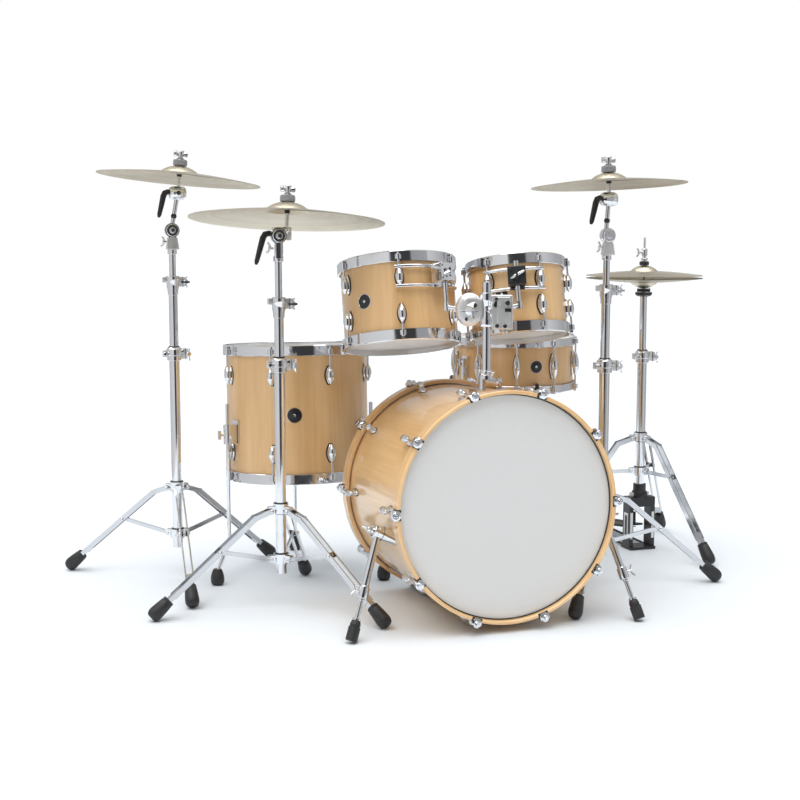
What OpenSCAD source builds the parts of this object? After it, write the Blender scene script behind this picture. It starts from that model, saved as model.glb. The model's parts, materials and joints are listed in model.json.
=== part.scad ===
// Acoustic drum kit: bass drum, two rack toms, floor tom, snare drum, hi-hat,
// two crash cymbals and a ride cymbal, each on its own stand.
// Millimetres, +Z up. The audience is at -Y, the player at +Y, and the origin is on
// the floor under the middle of the whole kit.

/* [Bass drum] */
// Outside diameter of the wood hoops
bass_hoop_d = 584; // [560:2:600]
// Length over both hoops
bass_len = 497; // [460:1:520]
// How far the front is pitched up, in degrees
bass_pitch = 2.5; // [1:0.5:4]
// Number of claws, rods and lugs on each side
bass_lug_count = 10; // [8:2:12]

/* [Spurs] */
// How far the spurs swing out of the shell, along X
spur_spread = 88; // [60:1:110]
// Height of the spur pivots above the floor
spur_pivot_z = 251; // [230:1:265]
// Radius of a spur's outer tube
spur_tube_r = 9.5; // [8:0.5:11]

/* [Toms] */
// Radius of the left tom's shell
tom_left_r = 152; // [140:1:156]
// Depth of the left tom's shell
tom_left_h = 203; // [180:1:215]
// Radius of the right tom's shell
tom_right_r = 127; // [115:1:130]
// Depth of the right tom's shell
tom_right_h = 178; // [160:1:190]
// How far the left tom leans to the player, in degrees
tom_left_tilt = 13; // [8:0.5:16]
// How far the right tom leans to the player, in degrees
tom_right_tilt = 12.5; // [8:0.5:16]
// Height of the ball joints above the floor
ball_z = 795; // [770:1:810]
// Radius of the tom post
post_r = 11; // [9:0.5:12]

/* [Floor tom] */
// Radius of the floor tom's shell
floor_tom_r = 203; // [190:1:205]
// Depth of the floor tom's shell
floor_tom_h = 356; // [330:1:380]
// Height of the middle of the floor tom
floor_tom_z = 478; // [440:1:520]
// Its lean to the player, in degrees
floor_tom_lean = 3; // [0:0.5:4]
// Radius of its legs
floor_tom_leg_r = 5.5; // [4.5:0.25:6.5]

/* [Snare drum] */
// Radius of the snare drum's shell
snare_r = 178; // [165:1:180]
// Depth of the snare drum's shell
snare_h = 140; // [120:1:165]
// Height of the middle of the snare drum
snare_z = 600; // [580:1:640]

/* [Cymbals] */
// Radius of the left crash cymbal
left_crash_r = 228; // [200:1:232]
// Radius of the ride cymbal
ride_r = 254; // [230:1:256]
// Radius of the right crash cymbal
right_crash_r = 211; // [190:1:216]
// Radius of the hi-hat cymbals
hat_r = 178; // [160:1:180]
// Thickness of a cymbal
cymbal_t = 1.6; // [1.2:0.1:2]
// Height of the lower hi-hat cymbal's edge
hat_z = 848; // [820:1:870]
// Gap between the open hi-hat cymbals' edges
hat_gap = 8.5; // [8:0.5:20]

/* [Stands] */
// Radius of a stand's lower tube
tube_r = 14.3; // [13.5:0.1:15]
// Radius of the tube that slides in it
column_r = 12.5; // [11:0.1:12.6]
// Radius of the top tube
top_tube_r = 9.5; // [8:0.1:10.5]
// Radius of the circle that the feet of a cymbal stand stand on
foot_circle_r = 353; // [320:1:360]

/* [Hidden] */
$fn = 64;

fit = 0.05;             // radial clearance of a sliding or turning fit
pin_r = 4;              // hinge pins
gap = 0.3;              // clearance between parts that pass each other
wood = "burlywood";
steel = "silver";
bronze = "darkkhaki";
rubber = "dimgray";

// The middle of the kit, measured from the floor under the middle of the bass drum
kit_mid = [-26.25, 272.6];

// Bass drum
bass_hoop_r = bass_hoop_d / 2;
bass_hoop_t = 9.5;
bass_hoop_w = 38;
bass_shell_r = bass_hoop_r - 13.4;
bass_shell_h = bass_len - 40;
bass_wall = 7.5;
bass_z = bass_hoop_r * cos(bass_pitch) + bass_len / 2 * sin(bass_pitch);
bass_rod_r = bass_hoop_r + 5.5;
bass_lug_y = bass_len / 2 - 88;
rod_r = 2.8;
key_r = 3.4;            // square key head of a tension rod, as a round one
claw_w = 26;

// Tom post, on the top of the bass drum
post_y = -82;
post_base_z = bass_z + bass_shell_r + 3;
post_lock_z = post_base_z + 44;
ball_r = 16;
ball_left = [-42, -70, ball_z];
ball_right = [42, -76, ball_z];
arm_r = 6.35;
arm_reach = 46;         // from a tom's shell to its arm

// Drums: place, then angle of the first lug about the drum's axis
tom_left_pos = [-150, 178, 796];
tom_right_pos = [158, 94, 809];
floor_tom_pos = [-350, 520, floor_tom_z];
snare_pos = [322, 510, snare_z];
tom_left_phase = 254;
tom_right_phase = 215;
floor_tom_phase = 237;
snare_phase = 250;
tom_left_arm_a = 290;
tom_right_arm_a = 248;
lug_r = 10.5;
lug_half = 24;
snare_lug_half = 36;
rod_reach = 12;         // from a shell to its tension rods
hoop_reach = 8.4;       // from a shell to the outside of its hoops
tom_rim = 15;           // from a shell's end to the top of its hoop
snare_rim = 9;
hoop_bottom = 14;
film = 0.8;

// Floor tom legs
leg_reach = 30;
leg_a0 = 199;
leg_top_z = 512;
leg_bend_z = 120;
leg_splay = 40;
leg_bracket_z = 426;

// Stands: place, angle of the first leg, foot circle, upper and lower collar, clamp
LC = [-700, 549, 27.3, foot_circle_r, 268, 131, 648];
RD = [-487, 149, 65.6, foot_circle_r, 268, 133, 647];
RC = [410, 72, 113, foot_circle_r, 268, 133, 625];
HH = [740, 480, 48, 300, 355, 246, 606];
SN = [322, 510, 90, 250, 215, 110, 330];
STANDS = [LC, RD, RC, HH, SN];
function stand_xy(s) = [s[0], s[1], 0];
function stand_a(s) = s[2];
function stand_foot(s) = s[3];
function stand_up(s) = s[4];
function stand_low(s) = s[5];
function stand_clamp(s) = s[6];
tube_bottom = 40;       // how far the lower tube reaches below the lower collar
clamp_h = 38;
collar_h = 26;
collar_r = 21;
leg_w = 14;
leg_t = 4;
leg_gap = 8;            // half the gap between the two bars of a leg
foot_len = 75;

// Tilters: hinge height, clamp, then cymbal place and lean
LC_TILT = [995, 851, [-676, 557, 1136], 1, 5.4];
RD_TILT = [981, 806, [-461, 157, 1020], 5, 3.4];
RC_TILT = [981, 832, [417, 80, 1116], 2.5, -1.3];
tilt_disc_r = 20;
hub_r = 5;              // sleeve that a cymbal turns on

// Hi-hat and its pedal
hat_h = 30;
hat_rod_r = 3.2;
hat_rod_top = 974;
hat_column_r = 11;
pedal_w = 88;
pedal_h = 165;
heel_y = 285;
heel_z = 30;
toe_y = 26;
toe_z = 66;

// Snare stand
basket_z = 440;
basket_a0 = 268;
strainer_a = 196;

function polar(r, a, z) = [r * cos(a), r * sin(a), z];
function arc_lens(r, h, n) = [for (i = [0:n]) let (t = -h + 2 * h * i / n)
    [r * (1 - pow(t / (h * 1.12), 2)), t]];
function lean(v, tilt) = [v[0], v[1] * cos(tilt) + v[2] * sin(tilt),
    v[2] * cos(tilt) - v[1] * sin(tilt)];
function elbow(pos, tilt, r, a) = pos + lean(polar(r + arm_reach, a, -40), tilt);

// ---------- shapes ----------
module kit() translate([-kit_mid[0], -kit_mid[1], 0]) children();

// Turns +Z to point from p to q, with the origin at p
module along(p, q) {
    d = q - p;
    translate(p) rotate([0, acos(d[2] / norm(d)), atan2(d[1], d[0])]) children();
}

module rod(p, q, r) along(p, q) cylinder(r = r, h = norm(q - p));

module tube(r, bore, h) difference() {
    cylinder(r = r, h = h);
    translate([0, 0, -1]) cylinder(r = bore, h = h + 2);
}

module block(size) translate([-size[0] / 2, -size[1] / 2, 0]) cube(size);

// A flat bar from a to b in the XZ plane, w wide in that plane, t thick along Y
module bar(a, b, w, t) {
    d = b - a;
    translate([a[0], 0, a[1]]) rotate([0, -atan2(d[1], d[0]), 0])
        translate([0, -t / 2, -w / 2]) cube([norm(d), t, w]);
}

module lens(r, half) rotate_extrude()
    polygon(concat([[0, -half]], arc_lens(r, half, 8), [[0, half]]));

module wing_screw(r, len) {
    cylinder(r = r, h = len);
    translate([0, 0, len]) block([r * 7, r * 1.6, r * 2.4]);
}

// ---------- drums, about their own middle, axis Z ----------
module drum_shell(r, h, wall) difference() {
    cylinder(r = r, h = h, center = true);
    cylinder(r = r - wall, h = h + 2, center = true);
    for (s = [0, 180]) rotate([s, 0, 0]) translate([0, 0, h / 2 - wall / 2])
        cylinder(r1 = r - wall, r2 = r - wall / 3, h = wall / 2 + 0.01);
}

module drum_heads(r, h) for (s = [0, 180]) rotate([s, 0, 0])
    rotate_extrude() polygon([[0, h / 2], [r + 0.4, h / 2], [r + 0.4, h / 2 - 8],
        [r + 3, h / 2 - 8], [r + 3, h / 2 + film], [0, h / 2 + film]]);

module hoop_ring(r, h, rim) rotate_extrude() polygon([[r + 3.6, h / 2 - hoop_bottom],
    [r + hoop_reach - 1, h / 2 - hoop_bottom], [r + hoop_reach, h / 2 - hoop_bottom + 1],
    [r + hoop_reach, h / 2 + rim - 2], [r + hoop_reach - 2, h / 2 + rim],
    [r + 1.6, h / 2 + rim], [r + 0.6, h / 2 + rim - 1],
    [r + 0.6, h / 2 + film + 0.3], [r + 3.6, h / 2 + film + 0.3]]);

module drum_hoops(r, h, n, phase, rim) for (s = [1, -1]) mirror([0, 0, s < 0 ? 1 : 0])
    difference() {
        union() {
            hoop_ring(r, h, rim);
            for (i = [0:n - 1]) difference() {
                translate(polar(r + rod_reach, phase + i * 360 / n, h / 2 - 9))
                    cylinder(r = 8, h = 12);
                translate([0, 0, h / 2 - 10]) cylinder(r = r + hoop_reach - 1, h = 14);
            }
        }
        for (i = [0:n - 1]) translate(polar(r + rod_reach, phase + i * 360 / n, h / 2 - 15))
            cylinder(r = rod_r + 0.4, h = 30);
    }

// A lug with its seat on the shell and its rod, standing along +Z
module lug(r, reach, half, up, down) {
    difference() {
        union() {
            translate([r + reach, 0, 0]) lens(lug_r, half);
            translate([r + 2, 0, 0]) lens(lug_r * 0.95, half);
            translate([r - 2, 0, 0]) rotate([0, 90, 0]) cylinder(r = lug_r * 0.7, h = reach);
        }
        cylinder(r = r, h = 3 * half, center = true);
    }
    if (up > 0) translate([r + reach, 0, half - 1]) cylinder(r = rod_r, h = up - half + 1);
    if (up > 0) translate([r + reach, 0, up]) cylinder(r = key_r, h = 7);
    if (down > 0) translate([r + reach, 0, -down]) cylinder(r = rod_r, h = down - half + 1);
    if (down > 0) translate([r + reach, 0, -down - 7]) cylinder(r = key_r, h = 7);
}

module drum_lugs(r, h, n, phase, lug_z) for (i = [0:n - 1], s = [0, 1])
    rotate([0, 0, phase + i * 360 / n]) mirror([0, 0, s]) translate([0, 0, lug_z])
        lug(r, rod_reach, lug_half, h / 2 + 3 - lug_z, 0);

// ---------- bass drum ----------
module at_bass() kit() translate([0, 0, bass_z]) rotate([90 - bass_pitch, 0, 0]) children();

module each_bass_lug() for (side = [0, 1], i = [0:bass_lug_count - 1])
    mirror([0, 0, side]) rotate([0, 0, i * 360 / bass_lug_count]) children();

module bass_shell() color(wood) difference() {
    at_bass() drum_shell(bass_shell_r, bass_shell_h, bass_wall);
    kit() translate([0, post_y, bass_z]) cylinder(r = post_r + 2, h = bass_hoop_r);
}

module bass_hoop() rotate_extrude() polygon([
    [bass_hoop_r - bass_hoop_t, 0], [bass_hoop_r, 0], [bass_hoop_r, bass_hoop_w - 2],
    [bass_hoop_r - 2, bass_hoop_w], [bass_hoop_r - bass_hoop_t + 2, bass_hoop_w],
    [bass_hoop_r - bass_hoop_t, bass_hoop_w - 2]]);

module bass_hoop_front() color(wood) at_bass()
    translate([0, 0, bass_len / 2 - bass_hoop_w]) bass_hoop();

module bass_hoop_rear() color(wood) at_bass() mirror([0, 0, 1])
    translate([0, 0, bass_len / 2 - bass_hoop_w]) bass_hoop();

module bass_heads() color("white") at_bass() drum_heads(bass_shell_r, bass_shell_h);

module bass_lugs() color(steel) at_bass() each_bass_lug() translate([0, 0, bass_lug_y])
    lug(bass_shell_r, bass_rod_r - bass_shell_r, lug_half + 3, 0, 0);

module claw() difference() {
    union() {
        translate([bass_hoop_r + gap, -claw_w / 2, bass_len / 2 - 26])
            cube([9.7, claw_w, 32]);
        translate([bass_hoop_r - 8, -claw_w / 2, bass_len / 2 + gap])
            cube([14, claw_w, 5.7]);
    }
    translate([bass_rod_r, 0, bass_len / 2 - 30]) cylinder(r = rod_r + 0.4, h = 40);
}

module bass_claws() color(steel) at_bass() each_bass_lug() claw();

module bass_tension_rods() color(steel) at_bass() each_bass_lug() {
    translate([bass_rod_r, 0, bass_lug_y + lug_half + 3.1])
        cylinder(r = rod_r, h = bass_len / 2 - bass_lug_y - lug_half + 3);
    translate([bass_rod_r, 0, bass_len / 2 + 6.1]) cylinder(r = 4.4, h = 8);
}

// ---------- spurs: side -1 is the left one ----------
function spur_pivot(side) = [side * 306, -140, spur_pivot_z];
function spur_foot(side) = side < 0 ? [-306 - spur_spread, -217, 24] : [352, -256, 24];
function spur_dir(side) = (spur_foot(side) - spur_pivot(side))
    / norm(spur_foot(side) - spur_pivot(side));
function spur_axis(side) = let (c = cross(spur_dir(side), [0, side < 0 ? 1 : -1, 0]))
    c / norm(c);

// How far from its pivot a spur's tip of radius r meets the floor
function spur_end(p, d, r) = (p[2] - r * sqrt(1 - d[2] * d[2])) / -d[2];

module spur_bracket(side) {
    p = spur_pivot(side);
    a = spur_axis(side);
    rod(p + a * (spur_tube_r + gap), p + a * 60, 19);
    rod(p - a * (spur_tube_r + 8), p + a * 20, pin_r);
    rod(p - a * (spur_tube_r + 12), p - a * (spur_tube_r + 5 + gap), pin_r + 4);
}

module spur_brackets() color(steel) difference() {
    kit() for (side = [-1, 1]) spur_bracket(side);
    at_bass() cylinder(r = bass_shell_r, h = bass_len, center = true);
}

module spur(side) kit() {
    p = spur_pivot(side);
    a = spur_axis(side);
    d = spur_dir(side);
    len = norm(spur_foot(side) - p);
    color(steel) {
        along(p - a * (spur_tube_r + 5), p)
            tube(17, pin_r + fit, 2 * spur_tube_r + 5);
        along(p, p + d) rotate(45) rotate_extrude() polygon([[0, 10], [spur_tube_r, 10],
            [spur_tube_r, len * 0.54], [spur_tube_r + 4, len * 0.54],
            [spur_tube_r + 4, len * 0.66], [5.5, len * 0.66], [5.5, len - 46],
            [11, len - 46], [11, len - 24], [15, len - 22],
            [15, spur_end(p, d, 15)], [0, spur_end(p, d, 15)]]);
    }
}

module spur_left() spur(-1);
module spur_right() spur(1);

// ---------- tom post and arms ----------
module tom_post_bracket() color(steel) difference() {
    kit() translate([0, post_y, 0]) difference() {
        union() {
            translate([0, 0, bass_z + 200]) block([70, 62, post_base_z - bass_z - 192]);
            translate([0, 0, post_base_z]) cylinder(r = 19, h = 42);
            translate([0, -24, post_base_z]) block([30, 22, 36]);
            translate([15, 0, post_base_z + 22]) rotate([0, 90, 0]) wing_screw(4, 18);
        }
        translate([0, 0, bass_z]) cylinder(r = post_r + fit, h = 500);
    }
    at_bass() cylinder(r = bass_shell_r, h = bass_len, center = true);
}

// A cup that holds the ball, with its mouth towards the arm's elbow
module ball_cup(ball, to) {
    d = (to - ball) / norm(to - ball);
    difference() {
        rod(ball - d * 23, ball + d * 12, ball_r + 8);
        rod(ball - d * 17, ball + d * 20, ball_r + fit);
    }
}

module tom_post() color(steel) kit() {
    translate([0, post_y, post_base_z - 90])
        cylinder(r = post_r, h = ball_z + 70 - post_base_z + 90);
    translate([0, post_y, post_lock_z]) cylinder(r = 16, h = 12);
    translate([0, post_y, ball_z - 40]) cylinder(r = 16, h = 80);
    ball_cup(ball_left, elbow(tom_left_pos, tom_left_tilt, tom_left_r, tom_left_arm_a));
    ball_cup(ball_right,
        elbow(tom_right_pos, tom_right_tilt, tom_right_r, tom_right_arm_a));
}

module tom_arm(ball, pos, tilt, r, a) color(steel) kit() {
    e = elbow(pos, tilt, r, a);
    translate(ball) rotate(-90) sphere(r = ball_r);
    rod(ball, e, arm_r);
    translate(e) rotate([-tilt, 0, 0]) {
        cylinder_to(-11, 9, arm_r + 2.5);
        cylinder_to(5, 115, arm_r);
    }
}

module tom_arm_left()
    tom_arm(ball_left, tom_left_pos, tom_left_tilt, tom_left_r, tom_left_arm_a);
module tom_arm_right()
    tom_arm(ball_right, tom_right_pos, tom_right_tilt, tom_right_r, tom_right_arm_a);

// ---------- rack toms ----------
module at_tom_left() kit() translate(tom_left_pos) rotate([-tom_left_tilt, 0, 0]) children();
module at_tom_right() kit() translate(tom_right_pos) rotate([-tom_right_tilt, 0, 0])
    children();

// Two rails between two lugs, and the clamp that holds the arm
module tom_mount(r, phase, lug_z, arm_a) {
    rail_z = [lug_z + lug_half, lug_z - lug_half - 3];
    difference() {
        for (z = rail_z) translate([0, 0, z]) rotate([0, 0, phase - 3])
            rotate_extrude(angle = 66) translate([r + 6, 0]) square([13, 3]);
        for (i = [0, 1]) translate(polar(r + rod_reach, phase + i * 60, rail_z[0] - 1))
            cylinder(r = rod_r + 0.4, h = 5);
    }
    rotate([0, 0, arm_a]) difference() {
        union() {
            translate([r + 16, -19, rail_z[1] - 4]) cube([8, 38, rail_z[0] - rail_z[1] + 11]);
            translate([r + 23, -14, lug_z - 20]) cube([23, 28, 42]);
            translate([r + arm_reach, 0, lug_z - 20]) cylinder(r = 14, h = 42);
            translate([r + arm_reach + 12, 0, lug_z]) rotate([0, 90, 0]) wing_screw(3.5, 10);
        }
        translate([r + arm_reach, 0, lug_z - 40]) cylinder(r = arm_r + fit, h = 80);
    }
}

module tom_left_shell() color(wood) at_tom_left() drum_shell(tom_left_r, tom_left_h, 6);
module tom_left_hoops() color(steel) at_tom_left()
    drum_hoops(tom_left_r, tom_left_h, 6, tom_left_phase, tom_rim);
module tom_left_heads() color("white") at_tom_left() drum_heads(tom_left_r, tom_left_h);
module tom_left_lugs() color(steel) at_tom_left()
    drum_lugs(tom_left_r, tom_left_h, 6, tom_left_phase, 48);
module tom_left_mount() color(steel) at_tom_left()
    tom_mount(tom_left_r, tom_left_phase, 48, tom_left_arm_a);

module tom_right_shell() color(wood) at_tom_right()
    drum_shell(tom_right_r, tom_right_h, 6);
module tom_right_hoops() color(steel) at_tom_right()
    drum_hoops(tom_right_r, tom_right_h, 6, tom_right_phase, tom_rim);
module tom_right_heads() color("white") at_tom_right()
    drum_heads(tom_right_r, tom_right_h);
module tom_right_lugs() color(steel) at_tom_right()
    drum_lugs(tom_right_r, tom_right_h, 6, tom_right_phase, 34);
module tom_right_mount() color(steel) at_tom_right()
    tom_mount(tom_right_r, tom_right_phase, 34, tom_right_arm_a);

// ---------- floor tom ----------
module at_floor_tom() kit() translate(floor_tom_pos) rotate([-floor_tom_lean, 0, 0])
    children();
module each_floor_leg() kit() translate([floor_tom_pos[0], floor_tom_pos[1], 0])
    for (i = [0:2]) rotate([0, 0, leg_a0 + 120 * i]) children();

module floor_tom_shell() color(wood) at_floor_tom()
    drum_shell(floor_tom_r, floor_tom_h, 6);
module floor_tom_hoops() color(steel) at_floor_tom()
    drum_hoops(floor_tom_r, floor_tom_h, 8, floor_tom_phase, tom_rim);
module floor_tom_heads() color("white") at_floor_tom()
    drum_heads(floor_tom_r, floor_tom_h);
module floor_tom_lugs() color(steel) at_floor_tom()
    drum_lugs(floor_tom_r, floor_tom_h, 8, floor_tom_phase, 108);

module floor_tom_leg_brackets() color(steel) difference() {
    each_floor_leg() difference() {
        union() {
            translate([floor_tom_r - 7, -15, leg_bracket_z - 28]) cube([13, 30, 67]);
            translate([floor_tom_r, -12, leg_bracket_z - 27])
                cube([leg_reach, 24, 54]);
            translate([floor_tom_r + leg_reach, 0, leg_bracket_z - 27])
                cylinder(r = 12, h = 54);
            translate([floor_tom_r + leg_reach + 10, 0, leg_bracket_z]) rotate([0, 90, 0])
                wing_screw(3.5, 12);
        }
        translate([floor_tom_r + leg_reach, 0, leg_bracket_z - 60])
            cylinder(r = floor_tom_leg_r + fit, h = 120);
    }
    at_floor_tom() cylinder(r = floor_tom_r, h = floor_tom_h, center = true);
}

module floor_tom_legs() color(steel) each_floor_leg() {
    top = [floor_tom_r + leg_reach, 0, leg_top_z];
    bend = [floor_tom_r + leg_reach, 0, leg_bend_z];
    foot = [floor_tom_r + leg_reach + leg_splay, 0, 36];
    rod(bend, top, floor_tom_leg_r);
    translate(bend) sphere(r = floor_tom_leg_r + 0.8);
    rod(foot, bend, floor_tom_leg_r);
}

// ---------- stands ----------
module each_leg(s) kit() translate(stand_xy(s)) for (i = [0:2])
    rotate([0, 0, stand_a(s) + 120 * i]) children();

function leg_pivot(s) = [collar_r + 8, stand_up(s) - 6];
function leg_knee(s) = [collar_r + 52, stand_up(s) - 22];
function leg_end(s) = [stand_foot(s) - 2, 11];
function leg_dir(s) = (leg_end(s) - leg_knee(s)) / norm(leg_end(s) - leg_knee(s));
function leg_cuff(s) = leg_end(s) - leg_dir(s) * foot_len;
function leg_mid(s) = leg_knee(s) + leg_dir(s) * (stand_foot(s) * 0.36);

module stand_tubes() color(steel) for (s = STANDS) kit() translate(stand_xy(s))
    translate([0, 0, stand_low(s) - tube_bottom])
        tube(tube_r, column_r + fit, stand_clamp(s) - stand_low(s) + tube_bottom);

module clamp(bore, r, h) difference() {
    union() {
        cylinder(r = r, h = h);
        translate([r + 5, 0, h * 0.12]) block([22, 16, h * 0.76]);
        translate([r + 14, -4, h / 2]) rotate([90, 0, 0]) wing_screw(3.5, 14);
        translate([-r - 4, 0, h * 0.5]) block([14, 14, h * 0.4]);
    }
    translate([0, 0, -1]) cylinder(r = bore, h = h + 2);
}

module stand_clamps() color(steel) for (s = STANDS) kit()
    translate(stand_xy(s) + [0, 0, stand_clamp(s) - clamp_h / 2]) difference() {
        clamp(column_r + fit, 20, clamp_h);
        translate([0, 0, -1]) cylinder(r = tube_r + fit, h = clamp_h / 2 + 1);
    }

module tripod_collars() color(steel) for (s = STANDS) {
    kit() translate(stand_xy(s)) for (z = [stand_up(s), stand_low(s)])
        translate([0, 0, z - collar_h / 2]) tube(collar_r, tube_r + fit, collar_h);
    each_leg(s) {
        translate([collar_r - 2, -leg_gap + gap, stand_up(s) - 14])
            cube([16, 2 * (leg_gap - gap), 20]);
        for (y = [-8, 3.5]) translate([collar_r - 2, y, stand_low(s) - 8])
            cube([16, 4.5, 18]);
    }
}

module tripod_legs() color(steel) for (s = STANDS) each_leg(s) {
    for (y = [-1, 1]) translate([0, y * (leg_gap + leg_t / 2), 0]) {
        bar(leg_pivot(s), leg_knee(s), leg_w - 0.6, leg_t + 0.4);
        bar(leg_knee(s), leg_cuff(s), leg_w, leg_t);
        for (p = [leg_pivot(s), leg_knee(s)]) translate([p[0], leg_t / 2 + 0.4, p[1]])
            rotate([90, 0, 0]) cylinder(r = leg_w / 2 + 0.7, h = leg_t + 0.8);
    }
    for (p = [leg_pivot(s), leg_mid(s)])
        translate([p[0], leg_gap + leg_t + 3, p[1]]) rotate([90, 0, 0])
            cylinder(r = 3.5, h = 2 * (leg_gap + leg_t + 3));
    bar(leg_cuff(s) - leg_dir(s) * 22, leg_cuff(s) + leg_dir(s) * 20, leg_w - 2,
        2 * leg_gap + 3);
}

module tripod_braces() color(steel) for (s = STANDS) each_leg(s) {
    low = [collar_r + 8, stand_low(s)];
    bar(low, leg_mid(s), 11, 6);
    for (p = [low, leg_mid(s)]) translate([p[0], 3.4, p[1]]) rotate([90, 0, 0])
        cylinder(r = 6.5, h = 6.8);
    translate([low[0], 11, low[1]]) rotate([90, 0, 0]) cylinder(r = 3, h = 22);
}

module big_foot() rotate_extrude() polygon([[0, 0], [12, 0], [13, 4], [16.5, 34],
    [19, 60], [18, 70], [13, 77], [0, 77]]);

module rubber_feet() color(rubber) {
    for (s = STANDS) intersection() {
        each_leg(s) translate([leg_cuff(s)[0], 0, leg_cuff(s)[1]])
            rotate([0, 90 - atan2(leg_dir(s)[1], leg_dir(s)[0]), 0]) big_foot();
        kit() translate([-2000, -2000, 0]) cube([4000, 4000, 400]);
    }
    each_floor_leg() translate([floor_tom_r + leg_reach + leg_splay, 0, 0])
        rotate_extrude() polygon([[0, 0], [14, 0], [19, 8], [19, 24], [15, 38], [11, 46],
            [0, 46]]);
}

// Slides in a stand's lower tube, and ends in the fixed half of a tilter
module cymbal_column(s, t) color(steel) kit() translate(stand_xy(s)) {
    hinge = t[0];
    joint = t[1];
    translate([0, 0, stand_clamp(s) - 290])
        cylinder(r = column_r, h = joint - stand_clamp(s) + 290);
    translate([0, 0, joint - 16]) clamp(1, column_r + 5, 32);
    cylinder_to(joint, hinge - tilt_disc_r - 3, top_tube_r);
    translate([0, -6.5, hinge - tilt_disc_r - 22]) block([20, 12.4, 24]);
    translate([0, -gap / 2, hinge]) rotate([90, 0, 0]) cylinder(r = tilt_disc_r, h = 12);
    translate([0, 15, hinge]) rotate([90, 0, 0]) cylinder(r = pin_r, h = 20);
}

module cylinder_to(z0, z1, r) translate([0, 0, z0]) cylinder(r = r, h = z1 - z0);

module at_cymbal(t) kit() translate(t[2]) rotate([-t[3], t[4], 0]) children();

// Turns about the column's disc and carries the cymbal's rod, felts and nut
module cymbal_tilter(s, t, top, ball_part) color(steel) {
    kit() {
        hinge = [s[0], s[1], t[0]];
        n = [sin(t[4]) * cos(t[3]), sin(t[3]), cos(t[3]) * cos(t[4])];
        low = t[2] - n * 26;
        side = hinge + [0, 8, 0];
        difference() {
            translate(hinge + [0, gap / 2, 0]) rotate([-90, 0, 0])
                cylinder(r = tilt_disc_r, h = 12);
            translate(hinge + [0, -1, 0]) rotate([-90, 0, 0])
                cylinder(r = pin_r + fit, h = 30);
        }
        rod(side + (low - side) * (10 / norm(low - side)), low, 6);
        translate(low) sphere(r = 9);
        translate([0, 1, 0]) {
            if (ball_part > 0) translate(hinge + (low - hinge) * ball_part) {
                rotate([-90, 0, 0]) translate([0, 0, -16]) cylinder(r = 19, h = 26);
                rod([-8, -2, 0], [-34, -4, 0], 6);
                translate([-34, -4, 0]) sphere(r = 7);
                rod([-34, -4, 0], [-48, -6, -56], 6);
            }
        }
        if (ball_part == 0) {
            rod(hinge + [-10, 7, 4], hinge + [-34, 7, 6], 6);
            translate(hinge + [-34, 7, 6]) sphere(r = 7);
            rod(hinge + [-34, 7, 6], hinge + [-48, 7, -52], 6);
        }
    }
    at_cymbal(t) {
        cylinder_to(-14, top + 46, hub_r - fit);
        cylinder_to(-24, top - cymbal_t - 12, 7);
        cylinder_to(top - cymbal_t - 12, top - cymbal_t - 2.5, 17);
        cylinder_to(top + gap, top + 14, 17);
        cylinder_to(top + 14, top + 17, 11);
        translate([0, 0, top + 22]) block([34, 9, 12]);
        cylinder_to(top + 17, top + 34, 6.5);
    }
}

// Height of a cymbal's top face over its edge, at radius x
function cymbal_z(x, r, bow, bell_r, bell) = bow * (1 - pow(x / r, 1.7))
    + (x < bell_r ? bell * (1 - pow(x / bell_r, 2.4)) : 0);

module cymbal(r, bow, bell_r, bell) {
    xs = concat([for (i = [0:6]) hub_r + (bell_r - hub_r) * i / 6],
        [for (i = [1:7]) bell_r + (r - bell_r) * i / 7]);
    up = [for (x = xs) [x, cymbal_z(x, r, bow, bell_r, bell)]];
    down = [for (i = [len(xs) - 1:-1:0]) [xs[i], up[i][1] - cymbal_t]];
    rotate_extrude() polygon(concat(up, down));
}

module left_crash_column() cymbal_column(LC, LC_TILT);
module left_crash_tilter() cymbal_tilter(LC, LC_TILT, 38, 0.9);
module left_crash_cymbal() color(bronze) at_cymbal(LC_TILT)
    cymbal(left_crash_r, 20, 55, 18);
module ride_column() cymbal_column(RD, RD_TILT);
module ride_tilter() cymbal_tilter(RD, RD_TILT, 48, 0);
module ride_cymbal() color(bronze) at_cymbal(RD_TILT) cymbal(ride_r, 26, 62, 22);
module right_crash_column() cymbal_column(RC, RC_TILT);
module right_crash_tilter() cymbal_tilter(RC, RC_TILT, 35, 0.9);
module right_crash_cymbal() color(bronze) at_cymbal(RC_TILT)
    cymbal(right_crash_r, 18, 50, 17);

// ---------- hi-hat ----------
module at_hat() kit() translate([HH[0], HH[1], 0]) children();

module hi_hat_column() color(steel) at_hat() difference() {
    union() {
        cylinder_to(stand_clamp(HH) - 200, stand_clamp(HH) + 24, column_r);
        cylinder_to(stand_clamp(HH) + 24, hat_z - hat_h - 18, hat_column_r);
        cylinder_to(hat_z - hat_h - 22, hat_z - hat_h - 12, 24);
        cylinder_to(hat_z - hat_h - 12, hat_z - hat_h - gap, 20);
    }
    cylinder_to(stand_clamp(HH) - 201, hat_z - hat_h - 22, 7.5);
    cylinder_to(stand_clamp(HH), hat_z, hat_rod_r + fit);
}

module hi_hat_bottom_cymbal() color(bronze) at_hat() translate([0, 0, hat_z])
    mirror([0, 0, 1]) cymbal(hat_r, 14, 42, 16);

module hi_hat_top_cymbal() color(bronze) at_hat()
    translate([0, 0, hat_z + hat_gap + cymbal_t]) cymbal(hat_r, 14, 42, 16);

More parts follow.
